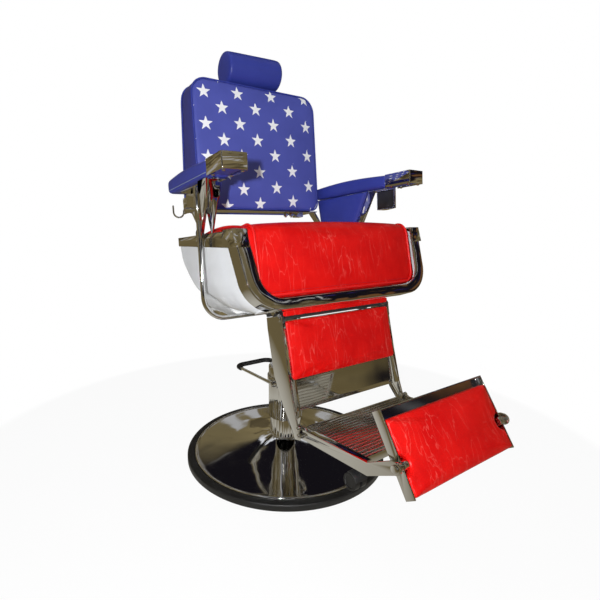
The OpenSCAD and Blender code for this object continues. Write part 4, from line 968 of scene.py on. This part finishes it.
def apron_cover():
    """Front apron: a strip of vinyl over a thin board, with rounded edges."""
    end = apron_hw - np.array([0, 0.6, 2])
    rows = []
    for x in np.r_[-end, np.linspace(5 - apron_hw, apron_hw - 5, 90), end[::-1]]:
        f = 1.0 if abs(x) < apron_hw - 2 else 0.75
        u, w = rounded_box(apron_half_t * f, apron_half_h * f, 0.5, 0.4, 28)
        rows.append(np.c_[np.full(28, x), apron_u + u, apron_w + w])
    return skin(rows, in_seat)


apron = make_piece("front_apron_cover", *apron_cover(), "seat", "red_vinyl", red_vinyl, replaces=("front_apron",))
outward(apron)


# ---------- metal with eased edges
def eased(node_name, body, width, material):
    """A merged copy of a CAD node with its sharp edges rounded over, standing for the node."""
    name = node_name + "_metal"
    bm = bmesh.new()
    bm.from_mesh(cad_nodes[node_name].data)
    bmesh.ops.remove_doubles(bm, verts=bm.verts, dist=2e-6)
    bmesh.ops.dissolve_limit(bm, angle_limit=math.radians(1.0), verts=bm.verts, edges=bm.edges)
    mesh = bpy.data.meshes.new(name)
    bm.to_mesh(mesh)
    bm.free()
    mesh.materials.clear()
    mesh.materials.append(material)
    obj = linked(name, mesh)
    rounded_shading(mesh)
    bevel = obj.modifiers.new("ease", "BEVEL")
    bevel.width = width * 0.001
    bevel.segments = 2
    bevel.limit_method = "ANGLE"
    bevel.angle_limit = math.radians(30.0)
    bevel.harden_normals = True
    bevel.use_clamp_overlap = True
    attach(obj, body)
    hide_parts(node_name)


body_of_node = {n: b for b, members in frame["record"]["behaviour"]["bodies"].items() for n in members}
eased_widths = {
    "corner_caps": 1.4, "arm_cap_right": 1.6, "arm_cap_left": 1.6, "kick_tray": 0.9, "foot_arm_right": 0.9,
    "foot_arm_left": 0.9, "foot_plate": 0.7, "leg_channel_right": 1.0, "leg_channel_left": 1.0,
    "arm_bracket_right": 0.7, "arm_bracket_left": 0.7, "back_frame": 0.8, "mirror_plate": 0.5, "seat_band": 0.6,
    "recline_link_right": 0.6, "recline_link_left": 0.6, "back_nuts": 0.6, "foot_bolts": 0.5, "hinge_pins": 0.6,
    "link_pins": 0.6, "kick_pins": 0.6, "ashtray_housing": 0.7, "ashtray_bin": 0.4, "headrest_socket": 0.6,
    "headrest_post": 0.6, "bar_clamp": 0.8, "pump_cover": 1.2, "neck_sleeve": 0.6, "arm_screws": 0.3,
    "underframe": 0.8, "seat_mount": 0.8, "caster_fork_right": 0.8, "caster_fork_left": 0.8,
    "caster_wheels_right": 1.0, "caster_wheels_left": 1.0, "release_lever": 0.5, "release_sleeve": 0.6, "ram": 0.5,
}
for name, width in eased_widths.items():
    eased(name, body_of_node[name], width, finish_of(name))


# --- seat pan
corner_r, seat_taper, front_lean, rear_drop, pan_wall, flat_from, fillet = 86.0, 36.0, 14.8, 86.0, 2.5, 100.0, 46.0
front_run, pan_rise, pan_run = 64, pan_low - rear_drop, seat_d - flat_from
arc_r = (pan_run ** 2 + pan_rise ** 2) / (2 * pan_rise)
arc_c = np.array([flat_from, -pan_low + arc_r])
fillet_u = seat_d - fillet
fillet_c = np.array([fillet_u, arc_c[1] - math.sqrt((arc_r - fillet) ** 2 - (fillet_u - arc_c[0]) ** 2)])
fillet_a = math.degrees(math.atan2(fillet_c[1] - arc_c[1], fillet_c[0] - arc_c[0]))


def pan_bottom():
    """Lowest line of the pan as [u, w]: sloping front, long arc, rounded rear edge."""
    mid = arc(arc_c, arc_r, -90 - front_lean, fillet_a, 64)
    first = mid[0] + [-front_run, front_run * math.tan(math.radians(front_lean))]
    rear = arc(fillet_c, fillet, fillet_a, 0, 14)[1:]
    return np.vstack([np.linspace(first, mid[0], 12, endpoint=False), mid, rear])


def pan_section(foot, top, k):
    """One section of the pan, a U cut level at the bottom line with a rounded edge there; k is 0 at the front, 1
    from a third back."""
    deep = float(np.linalg.norm(foot - top))
    hw = seat_hw - 4
    full = max(deep, deep * (1 - k) + pan_low * k)
    r = corner_r - 2 + 16 * k
    tilt = math.atan(seat_taper / 2 / pan_h)
    low = hw - full * math.tan(tilt)
    cx = low + r * math.tan(tilt) - r / math.cos(tilt)
    rc = min(20.0, 1 + 0.7 * (full - deep))
    e = deep - rc
    d = np.linspace(8.0, e, 21)
    bend = np.clip((d - full + r) / r, math.sin(tilt), 1)
    wall = np.where(d > full - r + r * math.sin(tilt), cx + r * np.cos(np.arcsin(bend)), hw - d * math.tan(tilt))
    a = np.radians(np.linspace(10, 90, 7))
    edge = np.c_[wall[-1] - rc + rc * np.cos(a), e + rc * np.sin(a)]
    flat = np.c_[np.linspace(edge[-1, 0], 0, 12)[1:], np.full(11, deep)]
    half = np.vstack([np.c_[wall, d], edge, flat])
    q = np.vstack([half, (half * [-1, 1])[::-1][1:]])
    g = top + (foot - top) * (q[:, 1] / deep)[:, None]
    return np.c_[q[:, 0], g]


line = pan_bottom()
count = len(line)
so_far = np.r_[0, np.cumsum(np.linalg.norm(np.diff(line, axis=0), axis=1))]
tops = np.c_[np.linspace(0.3, seat_d, count), np.zeros(count)]
pan_rows = np.array([pan_section(f, t, k) for f, t, k in zip(line, tops, np.clip(so_far / flat_from, 0, 1))])
pan_points, pan_faces = skin(pan_rows, in_seat, caps=False, wrap=False)
rear_row = (count - 1) * pan_rows.shape[1]
pan_faces.append(tuple(range(rear_row, rear_row + pan_rows.shape[1])))
seat_pan = make_piece("seat_pan_enamel", pan_points, pan_faces, "seat", "white_enamel", white_enamel,
                      replaces=("seat_pan",))


def recalc(obj):
    """Points the faces of an open sheet one way, outwards by its widest reach."""
    bm = bmesh.new()
    bm.from_mesh(obj.data)
    bmesh.ops.recalc_face_normals(bm, faces=bm.faces)
    centre = sum((v.co for v in bm.verts), Vector()) / len(bm.verts)
    out = sum((f.calc_center_median() - centre).dot(f.normal) * f.calc_area() for f in bm.faces)
    if out < 0:
        bmesh.ops.reverse_faces(bm, faces=bm.faces)
    bm.to_mesh(obj.data)
    bm.free()
    obj.data.update()


recalc(seat_pan)
ease = seat_pan.modifiers.new("ease", "BEVEL")
ease.width, ease.segments, ease.limit_method, ease.angle_limit = 0.007, 4, "ANGLE", math.radians(40)
wall = seat_pan.modifiers.new("wall", "SOLIDIFY")
wall.thickness, wall.offset = pan_wall * 0.001, -1.0


def slot_cutter(x0, x1, u0, u1, w0, w1):
    """A box in the seat's frame."""
    c = np.array([[x, u, w] for x in (x0, x1) for u in (u0, u1) for w in (w0, w1)], float)
    return placed(c, in_seat), [(0, 1, 3, 2), (4, 6, 7, 5), (0, 4, 5, 1), (2, 3, 7, 6), (0, 2, 6, 4), (1, 5, 7, 3)]


slot_near, slot_far = 146, 159
slots = [slot_cutter(side * slot_near, side * slot_far, *span) for side in (-1, 1)
         for span in ((74, 138, -218, -170), (293, 360, -80, -28))]
cutter = linked("pan_slots", mesh_of("pan_slots", *join(slots)))
outward(cutter)
cut = seat_pan.modifiers.new("slots", "BOOLEAN")
cut.operation, cut.object, cut.solver = "DIFFERENCE", cutter, "EXACT"
bpy.context.view_layer.update()
baked = settled(seat_pan)
seat_pan.modifiers.clear()
seat_pan.data = baked
bpy.data.objects.remove(cutter)
rounded_shading(baked)
baked.set_sharp_from_angle(angle=math.radians(35))


# --- front moulding
def u_line(top, low, h, r):
    """The outline of the seat's front as [x, w]: down one side, round the corner, along the foot and up again."""
    tilt = math.atan((top - low) / h)
    cx = low + r * math.tan(tilt) - r / math.cos(tilt)
    a = np.linspace(-tilt, -math.pi / 2, 28)
    corner = np.c_[cx + r * np.cos(a), -h + r + r * np.sin(a)]
    side = np.linspace([top, 0], corner[0], 24, endpoint=False)
    foot = np.linspace([cx, -h], [-cx, -h], 60)[1:-1]
    right = np.vstack([side, corner])
    return np.vstack([right, foot, (right * [-1, 1])[::-1]])


moulding_h, moulding_wide, moulding_foot = pan_h / math.cos(math.radians(front_lean)) - 2, 35, 26


def moulding_skin():
    """Bent sheet carried along the U: a side flange, a rounded edge, a front face and a small turned-in lip."""
    outer = u_line(seat_hw, seat_hw - seat_taper / 2, moulding_h, corner_r)
    inner = u_line(seat_hw - moulding_wide, seat_hw - seat_taper / 2 - moulding_wide, moulding_h - moulding_foot,
                   corner_r - moulding_foot)
    inner[:, 1] = np.minimum(inner[:, 1], 0)
    across = inner - outer
    width = np.linalg.norm(across, axis=1, keepdims=True)
    bend = np.radians(np.linspace(0, 90, 6))
    edge = [(0.0, 40.0), (0.0, 20.0)] + [(3.5 - 3.5 * math.cos(b), 3.5 - 3.5 * math.sin(b)) for b in bend]
    lip = [(-1.6, 0.0), (-0.5, 0.45), (0.0, 1.5), (0.0, 3.0), (-1.5, 3.0)]
    prof = edge + [(width + d, t) for d, t in lip] + [(3.0, 3.0), (3.0, 40.0)]
    rows = [stood_up(outer + across / width * d, t) for d, t in prof]
    return skin(np.array(rows).transpose(1, 0, 2), in_front)


moulding = make_piece("front_moulding_sheet", *moulding_skin(), "seat", "chrome", bright, replaces=("front_moulding",))
outward(moulding)
moulding.data.set_sharp_from_angle(angle=math.radians(50))


# --- base dish and ring
def turned(profile):
    """A closed profile [r, z] turned about Z."""
    p = np.asarray(profile, float)
    m, n = len(p), 192
    a = np.linspace(0, 2 * np.pi, n, endpoint=False)
    ring = np.stack([np.outer(p[:, 0], np.cos(a)), np.outer(p[:, 0], np.sin(a)), np.outer(p[:, 1], np.ones(n))], -1)
    return ring.reshape(-1, 3), [tuple(f) for f in grid_faces(m + 1, n) % (m * n)]


base_r, rim_r, ring_h, dish_h, neck_r, dish_wall = 325.0, 301.0, 20.0, 62.0, 51.0, 3.0


def dish_profile():
    """Section of the dish: rim skirt, raised bead, groove, then a slope that steepens up to the neck."""
    slope_r = rim_r - 12
    r = np.linspace(slope_r, neck_r, 48)
    t = (slope_r - r) / (slope_r - neck_r)
    top = np.c_[r, ring_h + 1 + (dish_h - ring_h - 1) * (0.35 * t + 0.65 * t ** 3.2)]
    skirt = [[rim_r - dish_wall, 5], [rim_r - 0.2, 5], [rim_r - 0.2, ring_h - 3]]
    bead = arc((rim_r - 4.2, ring_h), 4, 10, 165, 14)
    inside = [[slope_r, ring_h - dish_wall], [rim_r - dish_wall, ring_h - dish_wall - 2]]
    return np.vstack([skirt, bead, top, top[::-1] - [0, dish_wall], inside])


dish = make_piece("base_dish_metal", *turned(dish_profile()), "base", "chrome", spun_chrome,
                  replaces=("base_dish",))
outward(dish)
dish.data.set_sharp_from_angle(angle=math.radians(40))
ring_profile = np.vstack([[[rim_r, 0.2], [base_r - 1.0, 0.0], [base_r - 0.2, 1.0]],
                          arc((base_r - 5.2, ring_h - 5.2), 5.0, 0, 90, 8),
                          [[rim_r + 3.0, ring_h], [rim_r + 0.8, ring_h - 0.4], [rim_r, ring_h - 1.6]]])
floor_ring = make_piece("floor_ring_rubber", *turned(ring_profile), "base", "black_rubber", black_rubber,
                        replaces=("floor_ring",))
outward(floor_ring)


# --- pump grip
bar_x, bar_reach, bar_bend, grip_r, grip_points = 68.0, 246.0, 27.0, 8.5, 300


def grip_path():
    """Centre line of the pump bar's cross piece: out along one rod, round the bend, across and back."""
    bend_from = bar_reach - bar_bend
    bend = arc((bar_x - bar_bend, bend_from), bar_bend, 0, 90, 16)[1:]
    left = np.vstack([[[bar_x, bend_from - 14], [bar_x, bend_from]], bend])
    both = np.vstack([left, (left * [-1, 1])[::-1]])
    return even_path(np.c_[both, np.zeros(len(both))], grip_points)


radius = grip_r - 0.9 + 0.75 * np.abs(np.sin(np.arange(grip_points) * np.pi / 5)) ** 0.5
radius[:3] = radius[-3:] = grip_r - 1.6
grip = make_piece("pump_grip_rubber", *tube(placed(grip_path(), in_bar), radius, in_bar[:3, 2], 18), "pump_bar",
                  "black_rubber", black_rubber, replaces=("pump_grip",))
outward(grip)


# ---------- camera, light and floor
camera_at = (-0.7601, -1.0951, 0.7592)
camera_yaw, camera_pitch, camera_roll = np.radians([34.0, -10.77, 0.22])
sensor_mm, focal_px, frame_px, centre_px = 36.0, 426.0, 600, (280.6, 302.3)


def set_camera():
    """A camera at the height and side from which the chair is looked at."""
    data = bpy.data.cameras.new("camera")
    cam = linked("camera", data)
    level = math.cos(camera_pitch)
    ahead = np.array([math.sin(camera_yaw) * level, math.cos(camera_yaw) * level, math.sin(camera_pitch)])
    right = np.cross(ahead, [0, 0, 1])
    right /= np.linalg.norm(right)
    up = np.cross(right, ahead)
    c, s = math.cos(camera_roll), math.sin(camera_roll)
    m = np.eye(4)
    m[:3, 0], m[:3, 1], m[:3, 2], m[:3, 3] = right * c + up * s, -right * s + up * c, -ahead, camera_at
    cam.matrix_world = Matrix(m.tolist())
    data.sensor_width = sensor_mm
    data.lens = sensor_mm * focal_px / frame_px
    data.shift_x = (frame_px / 2 - centre_px[0]) / frame_px
    data.shift_y = -(frame_px / 2 - centre_px[1]) / frame_px
    data.clip_start, data.clip_end = 0.05, 60.0
    bpy.context.scene.camera = cam


def area_light(name, at, aim, size, power):
    """A square white lamp that looks at a point."""
    data = bpy.data.lights.new(name, "AREA")
    data.shape = "SQUARE"
    data.size, data.energy = size, power
    obj = linked(name, data)
    obj.location = at
    obj.rotation_euler = (Vector(aim) - Vector(at)).to_track_quat("-Z", "Y").to_euler()
    return obj


set_camera()
area_light("key", (-0.96, -1.20, 0.80), (0.0, 0.0, 0.68), 0.04, 21.5)
fill = area_light("fill", (1.0, -2.4, 1.9), (0.0, 0.0, 0.6), 1.8, 6.0)
top = area_light("top", (-0.3, 0.3, 2.9), (0.0, 0.0, 0.5), 1.8, 12.0)
fill.visible_glossy = top.visible_glossy = False


def shader_mix(tree, factor, a, b):
    """One of two shader nodes: a where the factor is 0, b where it is 1."""
    return node(tree, "ShaderNodeMixShader", {0: factor, 1: a.outputs[0], 2: b.outputs[0]})


def steady(tree, kind, colour, strength=1.0):
    """A background or an emission of one colour, a socket or red, green and blue."""
    colour = colour if hasattr(colour, "node") else (*colour, 1)
    return node(tree, kind, {"Color": colour, "Strength": strength})


def studio_world():
    """White to the camera; even grey light for matt surfaces; for polished metal a plain room with a dark side,
    a tan wall and pale windows."""
    world = bpy.data.worlds.new("studio")
    bpy.context.scene.world = world
    t, out = emptied(world, "ShaderNodeOutputWorld")
    path = t.nodes.new("ShaderNodeLightPath")
    way = t.nodes.new("ShaderNodeTexCoord").outputs["Generated"]

    def noise(at, scale, detail, **settings):
        """Soft noise over directions."""
        links = {"Vector": at, "Scale": scale, "Detail": detail, **settings}
        return node(t, "ShaderNodeTexNoise", links).outputs["Fac"]

    blur = noise(way, 2.6, 3.0, Roughness=0.55)
    wobble = maths(t, "MULTIPLY_ADD", blur, 0.5, -0.25)

    def towards(direction):
        """How far a ray goes in a level direction, with a soft wobble."""
        dot = node(t, "ShaderNodeVectorMath", {0: way, 1: direction}, operation="DOT_PRODUCT")
        return maths(t, "ADD", dot.outputs["Value"], wobble)

    right, away = towards((0.829, -0.559, 0.0)), towards((0.559, 0.829, 0.0))
    up = node(t, "ShaderNodeSeparateXYZ", {"Vector": way}).outputs[2]
    side = maths(t, "ABSOLUTE", maths(t, "SUBTRACT", right, 0.03))
    overhead = product(t, ramp(t, side, 0.36, 0.33), ramp(t, up, 0.45, 0.55))
    front = product(t, ramp(t, away, 0.16, 0.10), ramp(t, away, -0.30, -0.24), ramp(t, right, 0.30, 0.40))
    behind = product(t, ramp(t, away, -0.70, -0.78), ramp(t, up, 0.55, 0.45))
    dark = maths(t, "MAXIMUM", maths(t, "MAXIMUM", overhead, front), behind)
    strip = product(t, ramp(t, side, 0.335, 0.35), ramp(t, side, 0.40, 0.385), ramp(t, up, 0.40, 0.55))
    wide = {0: product(t, right, 6.0), 1: product(t, away, 6.0), 2: product(t, up, 0.9)}
    streaks = noise(node(t, "ShaderNodeCombineXYZ", wide).outputs[0], 1.3, 2.5, Roughness=0.6)
    lamp = product(t, ramp(t, streaks, 0.585, 0.615), ramp(t, up, -0.25, 0.05), ramp(t, overhead, 0.0, 1.0, 1.0, 0.0))
    shade = product(t, ramp(t, streaks, 0.46, 0.43), 0.65)
    tan = mixed(t, ramp(t, blur, 0.40, 0.62), (0.125, 0.096, 0.043), (0.25, 0.20, 0.10))
    tan = mixed(t, ramp(t, up, 0.2, 0.95), tan, (0.20, 0.17, 0.10))
    tan = mixed(t, shade, tan, (0.030, 0.022, 0.014))
    spots = noise(way, 7.0, 1.0)
    dim = mixed(t, product(t, front, ramp(t, spots, 0.56, 0.64)), (0.008, 0.007, 0.010), (0.17, 0.08, 0.03))
    dim = mixed(t, product(t, front, ramp(t, spots, 0.38, 0.33)), dim, (0.05, 0.03, 0.20))
    room = mixed(t, dark, tan, dim)
    room = mixed(t, lamp, room, (0.46, 0.46, 0.47))
    room = mixed(t, strip, room, (0.85, 0.88, 0.95))
    matt = steady(t, "ShaderNodeBackground", (0.95, 0.97, 1.0), 0.23)
    first = shader_mix(t, path.outputs["Is Glossy Ray"], matt, steady(t, "ShaderNodeBackground", room))
    white = steady(t, "ShaderNodeBackground", (1, 1, 1))
    last = shader_mix(t, path.outputs["Is Camera Ray"], first, white)
    t.links.new(last.outputs[0], out.inputs[0])


studio_world()


def studio_floor():
    """A wide pale disc, white to the camera with the chair's soft shadow on it."""
    a = np.linspace(0, 2 * np.pi, 96, endpoint=False)
    disc = np.c_[9000 * np.cos(a), 9000 * np.sin(a), np.full(96, -0.5)]
    floor = linked("floor", mesh_of("floor", disc, [range(96)]))
    m = bpy.data.materials.new("pale_floor")
    t, out = emptied(m, "ShaderNodeOutputMaterial")
    path = t.nodes.new("ShaderNodeLightPath")
    at = t.nodes.new("ShaderNodeTexCoord").outputs["Object"]
    far = ramp(t, node(t, "ShaderNodeVectorMath", {0: at}, operation="LENGTH").outputs["Value"], 0.45, 1.1)
    matt = node(t, "ShaderNodeBsdfDiffuse", {"Color": (0.86, 0.86, 0.86, 1)})
    white = steady(t, "ShaderNodeEmission", (1, 1, 1))
    seen = shader_mix(t, maths(t, "MAXIMUM", far, 0.93), matt, white)
    shiny = steady(t, "ShaderNodeEmission", mixed(t, far, (0.5, 0.48, 0.42), (0.16, 0.125, 0.06)))
    glossy = shader_mix(t, path.outputs["Is Glossy Ray"], matt, shiny)
    last = shader_mix(t, path.outputs["Is Camera Ray"], glossy, seen)
    t.links.new(last.outputs[0], out.inputs[0])
    floor.data.materials.append(m)


studio_floor()
bpy.context.scene.view_settings.view_transform = "Standard"
